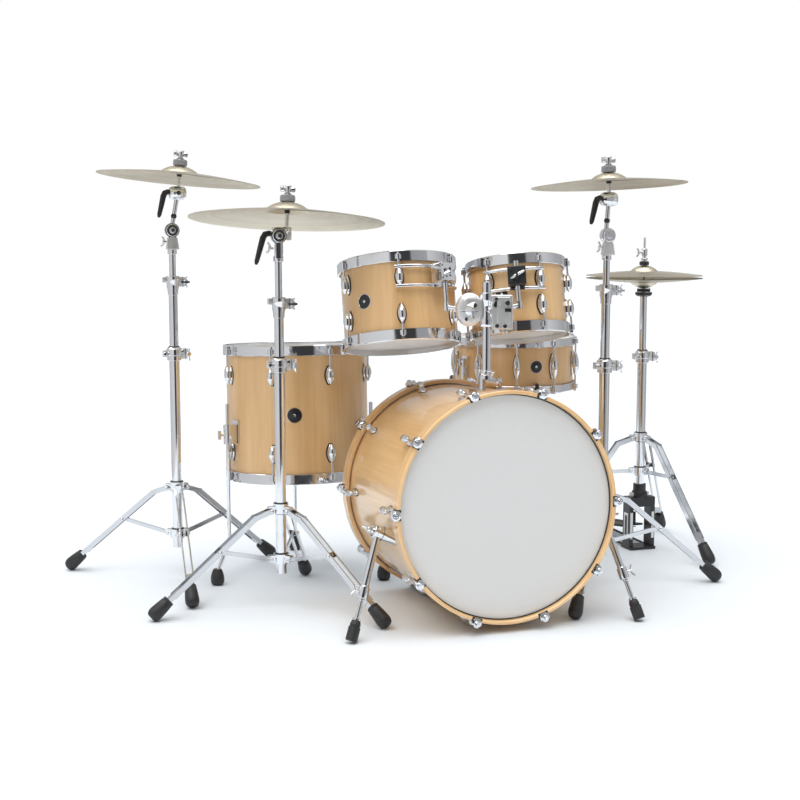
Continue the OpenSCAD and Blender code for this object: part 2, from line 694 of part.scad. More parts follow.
module hi_hat_rod() color(steel) at_hat() {
    top = hat_z + hat_gap + cymbal_t + hat_h;
    cylinder_to(pedal_h - 20, hat_rod_top, hat_rod_r);
    cylinder_to(top - 14, top + 52, 4.6);
    cylinder_to(top + gap, top + 12, 15);
    cylinder_to(top - cymbal_t - 10, top - cymbal_t - 2, 10);
    cylinder_to(top + 16, top + 22, 10);
    cylinder_to(top + 30, top + 50, 9);
    translate([-8, 0, top + 40]) rotate([0, -90, 0]) wing_screw(3.5, 12);
}

module hi_hat_pedal_frame() color(rubber) at_hat() {
    block([pedal_w, 62, 8]);
    for (x = [-1, 1]) translate([x * (pedal_w / 2 - 7), 0, 8]) block([14, 44, pedal_h - 38]);
    difference() {
        translate([0, 0, pedal_h - 30]) block([pedal_w, 44, 30]);
        cylinder_to(pedal_h - 31, pedal_h + 1, 6);
    }
    difference() {
        cylinder_to(pedal_h, stand_low(HH) - tube_bottom, 20);
        cylinder_to(pedal_h - 1, stand_low(HH), 6);
    }
    for (x = [-1, 1]) translate([x * 34, 0, 6]) rotate([-90, 0, 0])
        cylinder(r = 3.5, h = heel_y);
    translate([0, heel_y + 34, 0]) block([pedal_w - 10, 48, 14]);
    for (x = [-1, 1]) translate([x * 35, heel_y + 4, 0]) block([8, 22, heel_z + 8]);
    translate([-36, heel_y, heel_z]) rotate([0, 90, 0]) cylinder(r = pin_r, h = 72);
}

module hi_hat_footboard() color(rubber) at_hat() {
    run = [toe_y, toe_z] - [heel_y, heel_z];
    translate([0, heel_y, heel_z]) {
        difference() {
            translate([-27, 0, 0]) rotate([0, 90, 0]) cylinder(r = 7.5, h = 54);
            translate([-40, 0, 0]) rotate([0, 90, 0]) cylinder(r = pin_r + fit, h = 80);
        }
        rotate([-atan2(run[1], -run[0]), 0, 0]) translate([0, -norm(run) / 2 - 2.6, 0])
            block([56, norm(run) - 5.2, 6]);
    }
    translate([0, toe_y + 3, toe_z]) cylinder_to(0, 44, 4);
}

// ---------- snare drum and its stand ----------
module at_snare() kit() translate(snare_pos) children();
module at_snare_stand() kit() translate(stand_xy(SN)) children();

module snare_stand_column() color(steel) at_snare_stand() {
    cylinder_to(stand_clamp(SN) - 180, basket_z - 18, column_r);
    difference() {
        union() {
            translate([0, 0, basket_z - 19]) block([16, 18, 14]);
            translate([-8, 0, basket_z]) rotate([0, 90, 0]) cylinder(r = 13, h = 16);
        }
        translate([-10, 0, basket_z]) rotate([0, 90, 0]) cylinder(r = pin_r + fit, h = 20);
    }
}

module snare_basket() color(steel) at_snare_stand() {
    arm_z = snare_z - snare_h / 2 - 18;
    for (x = [-14, 8 + gap]) translate([x, 0, basket_z]) rotate([0, 90, 0])
        cylinder(r = 14, h = 6 - gap);
    for (x = [-14, 8 + gap]) translate([x, -9, basket_z]) cube([6 - gap, 18, 20]);
    translate([-13, 0, basket_z]) rotate([0, 90, 0]) cylinder(r = pin_r, h = 26);
    cylinder_to(basket_z + 18, basket_z + 32, 24);
    for (i = [0:2]) rotate([0, 0, basket_a0 + 120 * i]) {
        bar([18, basket_z + 25], [snare_r + 12, arm_z - 12], 12, 10);
        translate([snare_r + 14, 0, arm_z - 22]) block([10, 14, 18]);
        color(rubber) translate([snare_r + 14, 0, arm_z - 6]) block([9, 15, 44]);
    }
}

module snare_shell() color(wood) at_snare() drum_shell(snare_r, snare_h, 6);
module snare_hoops() color(steel) at_snare()
    drum_hoops(snare_r, snare_h, 10, snare_phase, snare_rim);
module snare_heads() color("white") at_snare() drum_heads(snare_r, snare_h);
module snare_lugs() color(steel) at_snare() for (i = [0:9])
    rotate([0, 0, snare_phase + i * 36])
        lug(snare_r, rod_reach, snare_lug_half, snare_h / 2 + 3, snare_h / 2 + 3);

module snare_wires() color(steel) at_snare() rotate([0, 0, strainer_a]) {
    wire_z = -snare_h / 2 - film - 2.2;
    for (i = [-9:9]) translate([-148, i * 2.1, wire_z]) rotate([0, 90, 0])
        cylinder(r = 0.8, h = 296, $fn = 16);
    for (x = [-158, 146]) translate([x, -22, wire_z - 1]) cube([12, 44, 2.4]);
}

module snare_strainer() color(steel) at_snare() for (a = [0, 180])
    rotate([0, 0, strainer_a + a]) {
        difference() {
            translate([snare_r - 4, -12, -30]) cube([12, 24, 56]);
            cylinder(r = snare_r, h = snare_h, center = true, $fn = 256);
        }
        if (a == 180) translate([snare_r + 4, -8, -16]) cube([10, 16, 26]);
        if (a == 0) for (y = [-11, 7]) translate([snare_r + 5, y, -4]) cube([15, 4, 22]);
        if (a == 0) translate([snare_r + 14, 10, 10]) rotate([90, 0, 0])
            cylinder(r = 2, h = 20);
    }

module snare_lever() color(steel) at_snare() rotate([0, 0, strainer_a]) {
    difference() {
        union() {
            translate([snare_r + 14, 6.7, 10]) rotate([90, 0, 0])
                cylinder(r = 4.5, h = 13.4);
            translate([snare_r + 11, -6, -42]) cube([5, 12, 52]);
        }
        translate([snare_r + 14, 20, 10]) rotate([90, 0, 0]) cylinder(r = 2 + fit, h = 40);
    }
}

bass_shell();
bass_hoop_front();
bass_hoop_rear();
bass_heads();
bass_lugs();
bass_claws();
bass_tension_rods();
spur_brackets();
tom_post_bracket();
floor_tom_legs();
stand_tubes();
stand_clamps();
tripod_collars();
tripod_legs();
tripod_braces();
rubber_feet();
hi_hat_pedal_frame();
spur_left();
spur_right();
floor_tom_shell();
floor_tom_hoops();
floor_tom_heads();
floor_tom_lugs();
floor_tom_leg_brackets();
tom_post();
tom_arm_left();
tom_arm_right();
tom_left_shell();
tom_left_hoops();
tom_left_heads();
tom_left_lugs();
tom_left_mount();
tom_right_shell();
tom_right_hoops();
tom_right_heads();
tom_right_lugs();
tom_right_mount();
snare_stand_column();
snare_basket();
snare_shell();
snare_hoops();
snare_heads();
snare_lugs();
snare_wires();
snare_strainer();
snare_lever();
left_crash_column();
left_crash_tilter();
left_crash_cymbal();
ride_column();
ride_tilter();
ride_cymbal();
right_crash_column();
right_crash_tilter();
right_crash_cymbal();
hi_hat_column();
hi_hat_bottom_cymbal();
hi_hat_top_cymbal();
hi_hat_rod();
hi_hat_footboard();
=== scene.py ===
"""Acoustic drum kit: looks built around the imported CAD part, in its frame."""
import json
import math

import bmesh
import bpy
from mathutils import Matrix, Vector


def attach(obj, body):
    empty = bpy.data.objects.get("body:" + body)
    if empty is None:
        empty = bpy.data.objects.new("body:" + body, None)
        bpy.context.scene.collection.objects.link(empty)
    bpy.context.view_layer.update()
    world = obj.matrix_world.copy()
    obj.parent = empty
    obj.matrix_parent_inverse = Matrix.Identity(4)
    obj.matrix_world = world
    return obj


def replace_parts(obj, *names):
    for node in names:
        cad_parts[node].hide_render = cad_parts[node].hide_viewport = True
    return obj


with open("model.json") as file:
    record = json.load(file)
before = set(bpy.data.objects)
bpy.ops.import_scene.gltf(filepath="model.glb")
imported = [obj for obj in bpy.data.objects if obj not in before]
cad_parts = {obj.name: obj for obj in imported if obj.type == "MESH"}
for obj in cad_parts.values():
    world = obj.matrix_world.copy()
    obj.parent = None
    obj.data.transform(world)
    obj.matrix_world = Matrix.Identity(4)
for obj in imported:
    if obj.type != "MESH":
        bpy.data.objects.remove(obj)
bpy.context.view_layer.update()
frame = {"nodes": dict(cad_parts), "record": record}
NODES = frame["nodes"]

# ---------- values repeated from part.scad, in mm about the bass drum's foot ----------
KIT_MID = Vector((-26.25, 272.6, 0))
BASS_HOOP_R, BASS_LEN, BASS_PITCH = 292.0, 497.0, 2.5
BASS_SHELL_R = BASS_HOOP_R - 13.4
BASS_Z = (BASS_HOOP_R * math.cos(math.radians(BASS_PITCH))
          + BASS_LEN / 2 * math.sin(math.radians(BASS_PITCH)))
BASS_ROD_R = BASS_HOOP_R + 5.5
BASS_LUG_Y = BASS_LEN / 2 - 88
LUG_R, LUG_HALF, SNARE_LUG_HALF = 10.5, 24.0, 36.0
GASKET_HALF_W, PAD_RIM = LUG_R * 0.95, 1.8
ROD_REACH = 12.0
KEY_HALF = 3.3
POST_Y, POST_R = -82.0, 11.0
POST_LOCK_Z = BASS_Z + BASS_SHELL_R + 47
BALL_Z = 795
BALLS = {"left": Vector((-42, -70, BALL_Z)), "right": Vector((42, -76, BALL_Z))}
ARM_REACH, ARM_ANGLES = 46, {"tom_left": 290, "tom_right": 248}
SNARE_XY, SNARE_Z = (322, 510), 600
# name: place, lean, radius, depth, lugs, first lug, height of the rows of lugs
DRUMS = {
    "tom_left": ((-150, 178, 796), 13.0, 152, 203, 6, 254, 48),
    "tom_right": ((158, 94, 809), 12.5, 127, 178, 6, 215, 34),
    "floor_tom": ((-350, 520, 478), 3.0, 203, 356, 8, 237, 108),
    "snare": ((*SNARE_XY, SNARE_Z), 0.0, 178, 140, 10, 250, 0),
}
BODY_OF = {"tom_left": "tom_left", "tom_right": "tom_right", "floor_tom": "floor_tom",
           "snare": "snare_drum"}
FLOOR_LEG_REACH, FLOOR_LEG_PHASE = 273, 199
HAT_XY, HAT_Z, HAT_GAP, HAT_H = (740, 480), 848.0, 8.5, 30.0
# name: place, foot circle, upper and lower collar, clamp, angle of the first leg
STANDS = {
    "left_crash": ((-700, 549), 353, 268, 131, 648, 27.3),
    "ride": ((-487, 149), 353, 268, 133, 647, 65.6),
    "right_crash": ((410, 72), 353, 268, 133, 625, 113),
    "hi_hat": (HAT_XY, 300, 355, 246, 606, 48),
    "snare": (SNARE_XY, 250, 215, 110, 330, 90),
}
TUBE_R, COLUMN_R = 14.3, 12.5
LEG_PIVOT_X, KNEE_X, FOOT_LEN = 29, 73, 75
# name: hinge height, clamp, cymbal's place, lean to the player, lean about Y, bell's top
TILT = {
    "left_crash": (995, 851, (-676, 557, 1136), 1, 5.4, 38),
    "ride": (981, 806, (-461, 157, 1020), 5, 3.4, 48),
    "right_crash": (981, 832, (417, 80, 1116), 2.5, -1.3, 35),
}
CYMBAL_T, HUB_R = 1.6, 5.0
SPUR_R = 9.5
SPUR_FEET = {-1: (-394, -217, 24), 1: (352, -256, 24)}


def rot(deg, axis):
    return Matrix.Rotation(math.radians(deg), 4, axis)


def move(p):
    return Matrix.Translation(Vector(p))


AT_BASS = move((0, 0, BASS_Z)) @ rot(90 - BASS_PITCH, "X")


def at_drum(name):
    place, lean = DRUMS[name][:2]
    return move(place) @ rot(-lean, "X")


def at_cymbal(name):
    place, lean, roll = TILT[name][2:5]
    return move(place) @ rot(roll, "Y") @ rot(-lean, "X")


# ---------- materials ----------
def new_material(name, color, rough, metallic=0.0, coat=0.0, coat_rough=0.05, spec=0.5):
    mat = bpy.data.materials.new(name)
    mat.use_nodes = True
    tree = mat.node_tree
    bsdf = tree.nodes["Principled BSDF"]
    bsdf.inputs["Base Color"].default_value = (*color, 1)
    bsdf.inputs["Roughness"].default_value = rough
    bsdf.inputs["Metallic"].default_value = metallic
    bsdf.inputs["Coat Weight"].default_value = coat
    bsdf.inputs["Coat Roughness"].default_value = coat_rough
    bsdf.inputs["Specular IOR Level"].default_value = spec
    return mat, tree, bsdf


def node(tree, kind, links=(), **values):
    """Adds a node; links are (input, output socket), values are attributes or inputs."""
    n = tree.nodes.new(kind)
    for key, value in values.items():
        if hasattr(n, key):
            setattr(n, key, value)
        else:
            n.inputs[key.replace("_", " ")].default_value = value
    for key, out in links:
        tree.links.new(out, n.inputs[key])
    return n


def coords(tree, frame_matrix=None, scale=(1, 1, 1)):
    """Object coordinates in metres, turned into a drum's or cymbal's own frame."""
    tex = node(tree, "ShaderNodeTexCoord")
    out = tex.outputs["Object"]
    if frame_matrix is not None:
        m = frame_matrix.copy()
        m.translation = (m.translation - KIT_MID) / 1000
        inv = m.inverted()
        first = node(tree, "ShaderNodeMapping", [("Vector", out)], vector_type="POINT")
        first.inputs["Location"].default_value = inv.translation
        first.inputs["Rotation"].default_value = inv.to_euler()
        out = first.outputs[0]
    last = node(tree, "ShaderNodeMapping", [("Vector", out)], vector_type="POINT")
    last.inputs["Scale"].default_value = scale
    return last.outputs[0]


def noise(tree, vector, scale, detail=3.0, rough=0.5, distortion=0.0):
    n = node(tree, "ShaderNodeTexNoise", [("Vector", vector)])
    n.inputs["Scale"].default_value = scale
    n.inputs["Detail"].default_value = detail
    n.inputs["Roughness"].default_value = rough
    n.inputs["Distortion"].default_value = distortion
    return n.outputs["Fac"]


def ramp(tree, fac, stops):
    n = node(tree, "ShaderNodeValToRGB", [("Fac", fac)])
    elements = n.color_ramp.elements
    while len(elements) < len(stops):
        elements.new(0.5)
    for e, (pos, col) in zip(elements, stops):
        e.position = pos
        e.color = (*col, 1)
    return n.outputs["Color"]


def spread(tree, fac, low, high, from_low=0.3, from_high=0.7):
    n = node(tree, "ShaderNodeMapRange", [("Value", fac)])
    n.inputs["From Min"].default_value = from_low
    n.inputs["From Max"].default_value = from_high
    n.inputs["To Min"].default_value = low
    n.inputs["To Max"].default_value = high
    return n.outputs[0]


def mix(tree, fac, a, b, kind="MIX"):
    n = tree.nodes.new("ShaderNodeMix")
    n.data_type = "RGBA"
    n.blend_type = kind
    for key, value in ((0, fac), (6, a), (7, b)):
        if hasattr(value, "is_output"):
            tree.links.new(value, n.inputs[key])
        else:
            n.inputs[key].default_value = value if key == 0 else (*value, 1)
    return n.outputs[2]


def bump(tree, bsdf, height, strength, distance):
    n = node(tree, "ShaderNodeBump", [("Height", height)])
    n.inputs["Strength"].default_value = strength
    n.inputs["Distance"].default_value = distance
    tree.links.new(n.outputs[0], bsdf.inputs["Normal"])


def maple(name, frame_matrix, around=False, tint=1.0):
    """Clear-lacquered maple: fine streaks along a shell's depth, or around a hoop."""
    mat, tree, bsdf = new_material(name, (0.7, 0.45, 0.2), 0.36, coat=0.9, coat_rough=0.045)
    if around:
        # (distance from the axis, height, angle) in place of (x, y, z)
        parts = node(tree, "ShaderNodeSeparateXYZ", [("Vector", coords(tree, frame_matrix))])
        x, y, z = parts.outputs
        angle = node(tree, "ShaderNodeMath", [(0, x), (1, y)], operation="ARCTAN2")
        flat = node(tree, "ShaderNodeCombineXYZ", [(0, x), (1, y)])
        size = node(tree, "ShaderNodeVectorMath", [(0, flat.outputs[0])], operation="LENGTH")
        turn = node(tree, "ShaderNodeCombineXYZ",
                    [(0, size.outputs["Value"]), (1, z), (2, angle.outputs[0])])
        broad, fine = [
            node(tree, "ShaderNodeMapping", [("Vector", turn.outputs[0])], Scale=scale).outputs[0]
            for scale in ((60, 60, 1.6), (420, 420, 3))]
    else:
        broad = coords(tree, frame_matrix, (9, 9, 1.3))
        fine = coords(tree, frame_matrix, (130, 130, 3.5))
    figure = noise(tree, broad, 1.0, 4, 0.55, 0.6)
    grain = noise(tree, fine, 1.0, 3, 0.6)
    col = ramp(tree, figure, [
        (0.30, (0.70 * tint, 0.415 * tint, 0.175 * tint)),
        (0.47, (0.78 * tint, 0.49 * tint, 0.225 * tint)),
        (0.62, (0.84 * tint, 0.55 * tint, 0.275 * tint)),
        (0.80, (0.76 * tint, 0.47 * tint, 0.21 * tint))])
    streak = ramp(tree, grain, [(0.35, (0.84, 0.77, 0.66)), (0.6, (1, 1, 1))])
    tree.links.new(mix(tree, 0.35, col, streak, "MULTIPLY"), bsdf.inputs["Base Color"])
    tree.links.new(spread(tree, grain, 0.42, 0.30), bsdf.inputs["Roughness"])
    bump(tree, bsdf, grain, 0.06, 0.0006)
    return mat


def metal(name, color, rough, spot=0.03, scale=40.0, scratch=0.02):
    """Plated or polished metal with faint uneven polish."""
    mat, tree, bsdf = new_material(name, color, rough, metallic=1.0)
    smear = noise(tree, coords(tree), scale, 4, 0.6)
    tree.links.new(spread(tree, smear, max(rough - spot, 0.02), rough + spot),
                   bsdf.inputs["Roughness"])
    shade = tuple(c * 0.93 for c in color)
    tree.links.new(mix(tree, smear, color, shade), bsdf.inputs["Base Color"])
    bump(tree, bsdf, smear, scratch, 0.0004)
    return mat


def bronze(name, frame_matrix):
    """Satin bronze with fine lathe grooves about the cymbal's own axis."""
    mat, tree, bsdf = new_material(name, (0.78, 0.66, 0.42), 0.3, metallic=1.0)
    base = coords(tree, frame_matrix, (1, 1, 0))
    r = node(tree, "ShaderNodeVectorMath", [(0, base)], operation="LENGTH").outputs["Value"]
    line = node(tree, "ShaderNodeCombineXYZ", [("X", r)]).outputs[0]
    grooves = noise(tree, line, 900, 2, 0.7)
    bands = noise(tree, line, 55, 3, 0.6)
    patina = noise(tree, coords(tree, frame_matrix), 9, 4, 0.6)
    col = ramp(tree, bands, [(0.3, (0.58, 0.51, 0.38)), (0.5, (0.66, 0.595, 0.46)),
                             (0.7, (0.72, 0.665, 0.54))])
    dull = ramp(tree, patina, [(0.3, (0.86, 0.84, 0.80)), (0.65, (1, 1, 1))])
    tree.links.new(mix(tree, 0.8, col, dull, "MULTIPLY"), bsdf.inputs["Base Color"])
    tree.links.new(spread(tree, grooves, 0.24, 0.42), bsdf.inputs["Roughness"])
    both = mix(tree, 0.35, grooves, bands)
    bump(tree, bsdf, both, 0.35, 0.0008)
    bsdf.inputs["Anisotropic"].default_value = 0.4
    return mat


def plain(name, color, rough, scale, depth, strength=0.25, vary=0.08, coat=0.0, sheen=0.0):
    """Rubber, moulded plastic, felt, film or paint: fine surface noise and slight colour."""
    mat, tree, bsdf = new_material(name, color, rough, coat=coat)
    fine = noise(tree, coords(tree), scale, 5, 0.65)
    wide = noise(tree, coords(tree), scale / 14, 3, 0.5)
    dark = tuple(c * (1 - 2 * vary) for c in color)
    light = tuple(min(c * (1 + vary), 1) for c in color)
    tree.links.new(mix(tree, wide, dark, light), bsdf.inputs["Base Color"])
    tree.links.new(spread(tree, fine, max(rough - 0.07, 0.05), min(rough + 0.07, 1)),
                   bsdf.inputs["Roughness"])
    bump(tree, bsdf, fine, strength, depth)
    bsdf.inputs["Sheen Weight"].default_value = sheen
    return mat


chrome = metal("chrome", (0.80, 0.81, 0.83), 0.085)
chrome_bars = metal("chrome_bars", (0.64, 0.65, 0.67), 0.15)
cast = metal("cast_grey", (0.80, 0.80, 0.79), 0.46, 0.08, 90, 0.06)
wire = metal("wire_steel", (0.6, 0.6, 0.61), 0.25, 0.05, 120)
film = plain("drumhead_film", (0.72, 0.715, 0.695), 0.42, 900, 0.0002, 0.15, 0.01)
rubber = plain("rubber_black", (0.022, 0.022, 0.023), 0.5, 500, 0.0004, 0.3, 0.15)
plastic = plain("plastic_black", (0.014, 0.014, 0.016), 0.32, 400, 0.0002, 0.2, 0.1)
black_metal = plain("black_satin_paint", (0.02, 0.02, 0.022), 0.38, 300, 0.0003, 0.25, 0.15)
felt_grey = plain("felt_grey", (0.30, 0.31, 0.33), 0.95, 1400, 0.0012, 0.8, 0.2, sheen=0.4)
felt_black = plain("felt_black", (0.025, 0.025, 0.027), 0.95, 1400, 0.0012, 0.8, 0.2, sheen=0.3)
enamel = plain("badge_enamel", (0.010, 0.010, 0.012), 0.35, 300, 0.0001, 0.1, 0.1, coat=0.2)


def dress(node_name, mat, angle=32):
    """Gives a CAD node its finish and smooth shading across its fine facets."""
    mesh = NODES[node_name].data
    mesh.materials.clear()
    mesh.materials.append(mat)
    mesh.shade_smooth()
    mesh.set_sharp_from_angle(angle=math.radians(angle))


maple_bass = maple("maple_bass_drum", AT_BASS, tint=1.07)
dress("bass_shell", maple_bass)
maple_hoop = maple("maple_bass_hoops", AT_BASS, around=True, tint=1.08)
dress("bass_hoop_front", maple_hoop)
dress("bass_hoop_rear", maple_hoop)
for drum in DRUMS:
    dress(drum + "_shell", maple("maple_" + drum, at_drum(drum)))
for name in TILT:
    dress(name + "_cymbal", bronze("bronze_" + name, at_cymbal(name)))
for name in ("hi_hat_bottom_cymbal", "hi_hat_top_cymbal"):
    dress(name, bronze("bronze_" + name, move((*HAT_XY, HAT_Z))))
SLOT_FINISH = {"chrome": chrome, "drumhead": film, "rubber": rubber, "black_metal": black_metal,
               "wire_steel": wire}
for item in frame["record"]["subparts"]:
    if item["material_slot"] in SLOT_FINISH:
        dress(item["node"], SLOT_FINISH[item["material_slot"]])
for name in ("tripod_legs", "tripod_braces"):
    dress(name, chrome_bars)


# ---------- building meshes, in mm ----------
class Build:
    """Collects parts in one mesh; points are in mm about the bass drum's foot."""

    def __init__(self):
        self.bm = bmesh.new()

    def add(self, verts, faces, at=None, mat=0):
        at = at or Matrix.Identity(4)
        vs = [self.bm.verts.new(at @ Vector(v)) for v in verts]
        flip = at.determinant() < 0
        for f in faces:
            face = self.bm.faces.new([vs[i] for i in (reversed(f) if flip else f)])
            face.material_index = mat
            face.smooth = True
        return vs

    def lathe(self, profile, at=None, n=28, mat=0):
        """Turns (radius, z) points about +Z; a radius of 0 closes the shape on the axis."""
        verts, faces, rows = [], [], []
        for r, z in profile:
            if r < 1e-6:
                rows.append([len(verts)] * n)
                verts.append((0, 0, z))
            else:
                rows.append(list(range(len(verts), len(verts) + n)))
                verts += [(r * math.cos(2 * math.pi * i / n), r * math.sin(2 * math.pi * i / n), z)
                          for i in range(n)]
        for a, b in zip(rows, rows[1:]):
            for i in range(n):
                j = (i + 1) % n
                loop = [a[i], a[j], b[j], b[i]]
                loop = [v for k, v in enumerate(loop) if v not in loop[:k]]
                if len(loop) > 2:
                    faces.append(loop)
        self.add(verts, faces, at, mat)

    def box(self, size, at=None, bevel=1.0, mat=0, taper=1.0):
        """A box with rounded edges, centred, its +Z end narrowed by taper in X and Y."""
        bm = bmesh.new()
        bmesh.ops.create_cube(bm, size=1)
        for v in bm.verts:
            k = taper if v.co.z > 0 else 1
            v.co = Vector((v.co.x * size[0] * k, v.co.y * size[1] * k, v.co.z * size[2]))
        bmesh.ops.bevel(bm, geom=list(bm.edges), offset=bevel, segments=3, profile=0.6,
                        affect="EDGES")
        bm.verts.index_update()
        self.add([v.co for v in bm.verts], [[v.index for v in f.verts] for f in bm.faces],
                 at, mat)
        bm.free()

    def tube(self, points, radii, n=16, mat=0, flat=1.0):
        """A closed tube along points; flat is the ratio of its two widths."""
        points = [Vector(p) for p in points]
        if not hasattr(radii, "__len__"):
            radii = [radii] * len(points)
        verts, rows = [], []
        side = None
        for i, p in enumerate(points):
            a = points[max(i - 1, 0)]
            b = points[min(i + 1, len(points) - 1)]
            d = (b - a).normalized()
            if side is None:
                side = d.orthogonal().normalized()
            side = (side - d * side.dot(d)).normalized()
            up = d.cross(side)
            rows.append(list(range(len(verts), len(verts) + n)))
            verts += [p + radii[i] * (side * math.cos(2 * math.pi * k / n)
                                      + up * math.sin(2 * math.pi * k / n) * flat)
                      for k in range(n)]
        faces = [[a[k], a[(k + 1) % n], b[(k + 1) % n], b[k]]
                 for a, b in zip(rows, rows[1:]) for k in range(n)]
        faces += [list(reversed(rows[0])), rows[-1]]
        self.add(verts, faces, None, mat)

    def done(self, name, body, slot_name, mats, angle=35):
        for v in self.bm.verts:
            v.co = (v.co - KIT_MID) / 1000
        bmesh.ops.recalc_face_normals(self.bm, faces=self.bm.faces)
        mesh = bpy.data.meshes.new(name)
        self.bm.to_mesh(mesh)
        self.bm.free()
        mesh.set_sharp_from_angle(angle=math.radians(angle))
        for m in mats:
            mesh.materials.append(m)
        obj = bpy.data.objects.new(name, mesh)
        bpy.context.scene.collection.objects.link(obj)
        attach(obj, body)
        return obj


def facing(p, z_dir, x_dir=(0, 0, 1)):
    """A frame at p with +Z along z_dir and +X as near x_dir as it can be."""
    z = Vector(z_dir).normalized()
    x = Vector(x_dir)
    x = (x - z * x.dot(z))
    x = x.normalized() if x.length > 1e-6 else z.orthogonal().normalized()
    y = z.cross(x)
    m = Matrix((x, y, z)).transposed().to_4x4()
    m.translation = Vector(p)
    return m


# ---------- lugs' gaskets, key heads and badges ----------
def gasket(build, r, at, half, width):
    """A thin dark pad under a lug, bent to a shell of radius r, at angle 0."""
    rows, cols = 15, 8
    lip, lift, thick = 1.3, 0.15, 1.0
    verts, faces = [], []
    for i in range(rows + 1):
        t = -1 + 2 * i / rows
        w = width * max(1 - (t / 1.12) ** 2, 0) + lip
        for j in range(cols + 1):
            s = -1 + 2 * j / cols
            edge = 1.0 - max(abs(s), abs(t)) ** 8
            y = s * w
            verts.append((math.sqrt((r + lift + thick * edge) ** 2 - y * y), y,
                          t * (half + lip)))
    for i in range(rows):
        for j in range(cols):
            k = i * (cols + 1) + j
            faces.append((k, k + 1, k + cols + 2, k + cols + 1))
    build.add(verts, faces, at)


def key_head(build, at, washer=6.0, half=KEY_HALF, height=8.0):
    """Square head of a tension rod with its washers, standing on the ear at z = 0."""
    build.lathe([(0, 0.02), (washer, 0.02), (washer, 1.2), (washer - 0.5, 1.5), (0, 1.5)],
                at, 20)
    build.lathe([(0, 1.4), (4.9, 1.4), (4.9, 2.6), (4.3, 3.2), (0, 3.2)], at, 18)
    build.box((2 * half, 2 * half, height - 2), at @ move((0, 0, 2 + height / 2 - 0.4)), 0.8)


for drum in DRUMS:
    r, h, count, phase, lug_z = DRUMS[drum][2:]
    pads, keys = Build(), Build()
    for i in range(count):
        turn = at_drum(drum) @ rot(phase + i * 360 / count, "Z")
        if drum == "snare":
            gasket(pads, r, turn, SNARE_LUG_HALF, GASKET_HALF_W)
        else:
            for s in (1, -1):
                gasket(pads, r, turn @ move((0, 0, s * lug_z)), LUG_HALF + PAD_RIM,
                       GASKET_HALF_W + PAD_RIM)
        for s in (1, -1):
            flip = rot(0 if s > 0 else 180, "X")
            key_head(keys, turn @ move((r + ROD_REACH, 0, s * (h / 2 + 3))) @ flip)
    pads.done(drum + "_lug_gaskets", BODY_OF[drum], "rubber", [rubber], 60)
    keys.done(drum + "_key_heads", BODY_OF[drum], "chrome", [chrome])


def badge(build, r, at, size):
    """A plain round badge bent to the shell: black enamel, silver rings, a vent."""
    rings = [(0, 0.5, 1), (2.1, 0.5, 1), (2.4, 1.7, 1), (3.4, 1.9, 1), (3.8, 1.1, 1),
             (4.0, 1.0, 0), (size * 0.70, 1.25, 0), (size * 0.91, 1.1, 0),
             (size * 0.93, 1.7, 1), (size * 0.98, 1.7, 1), (size, 0.9, 1), (size, 0, 1)]
    n = 40
    rows, verts = [], []
    for radius, height, _ in rings:
        row = []
        for k in range(n if radius > 0 else 1):
            a = 2 * math.pi * k / n
            y, z = radius * math.cos(a), radius * math.sin(a)
            row.append(len(verts))
            verts.append((math.sqrt((r + 0.1 + height) ** 2 - y * y), y, z))
        rows.append(row if radius > 0 else row * n)
    for mat in (0, 1):
        faces = []
        for i in range(len(rings) - 1):
            if rings[i + 1][2] != mat:
                continue
            a, b = rows[i], rows[i + 1]
            for k in range(n):
                loop = [a[k], b[k], b[(k + 1) % n], a[(k + 1) % n]]
                loop = [v for m, v in enumerate(loop) if v not in loop[:m]]
                faces.append(loop)
        build.add(verts, faces, at, mat)


for drum, angle, z, size in (("tom_left", 216, -5, 20.5), ("tom_right", 229, 0, 17.5),
                             ("floor_tom", 254, 0, 21.5), ("snare", 269, 0, 19)):
    b = Build()
    badge(b, DRUMS[drum][2], at_drum(drum) @ rot(angle, "Z") @ move((0, 0, z)), size)
    b.done(drum + "_badge", BODY_OF[drum], "chrome", [enamel, chrome])

# ---------- bass drum: claws, gaskets ----------
FRONT = BASS_LEN / 2
BASS_LUGS = 10
# a claw's outline over the hoop: (from the hoop's outside, from the drum's front, half width)
CLAW = [(-9.5, 0.4, 7.5), (0.5, 0.4, 12.2), (0.5, -26, 10.5), (6, -25.5, 9.5), (10.2, -20, 11),
        (11, -6, 12.6), (9, 3.5, 12.8), (5, 6.2, 12.8), (-4, 5.6, 11.5), (-9.5, 3, 7.0)]


def claw(build, at):
    n = len(CLAW)
    verts, faces = [], []
    for s in (-1, -0.82, 0.82, 1):
        inset = 1.0 if abs(s) == 1 else 0
        for r, z, w in CLAW:
            pull = (Vector((3, -4)) - Vector((r, z))).normalized() * inset
            verts.append((BASS_HOOP_R + r + pull.x, s * w, FRONT + z + pull.y))
    for row in range(3):
        for k in range(n):
            a = row * n + k
            c = row * n + (k + 1) % n
            faces.append((a, c, c + n, a + n))
    # the hook is concave, so its two sides are closed as two convex halves
    for half in ((0, 1, 6, 7, 8, 9), (1, 2, 3, 4, 5, 6)):
        faces.append(half[::-1])
        faces.append([3 * n + k for k in half])
    build.add(verts, faces, at)


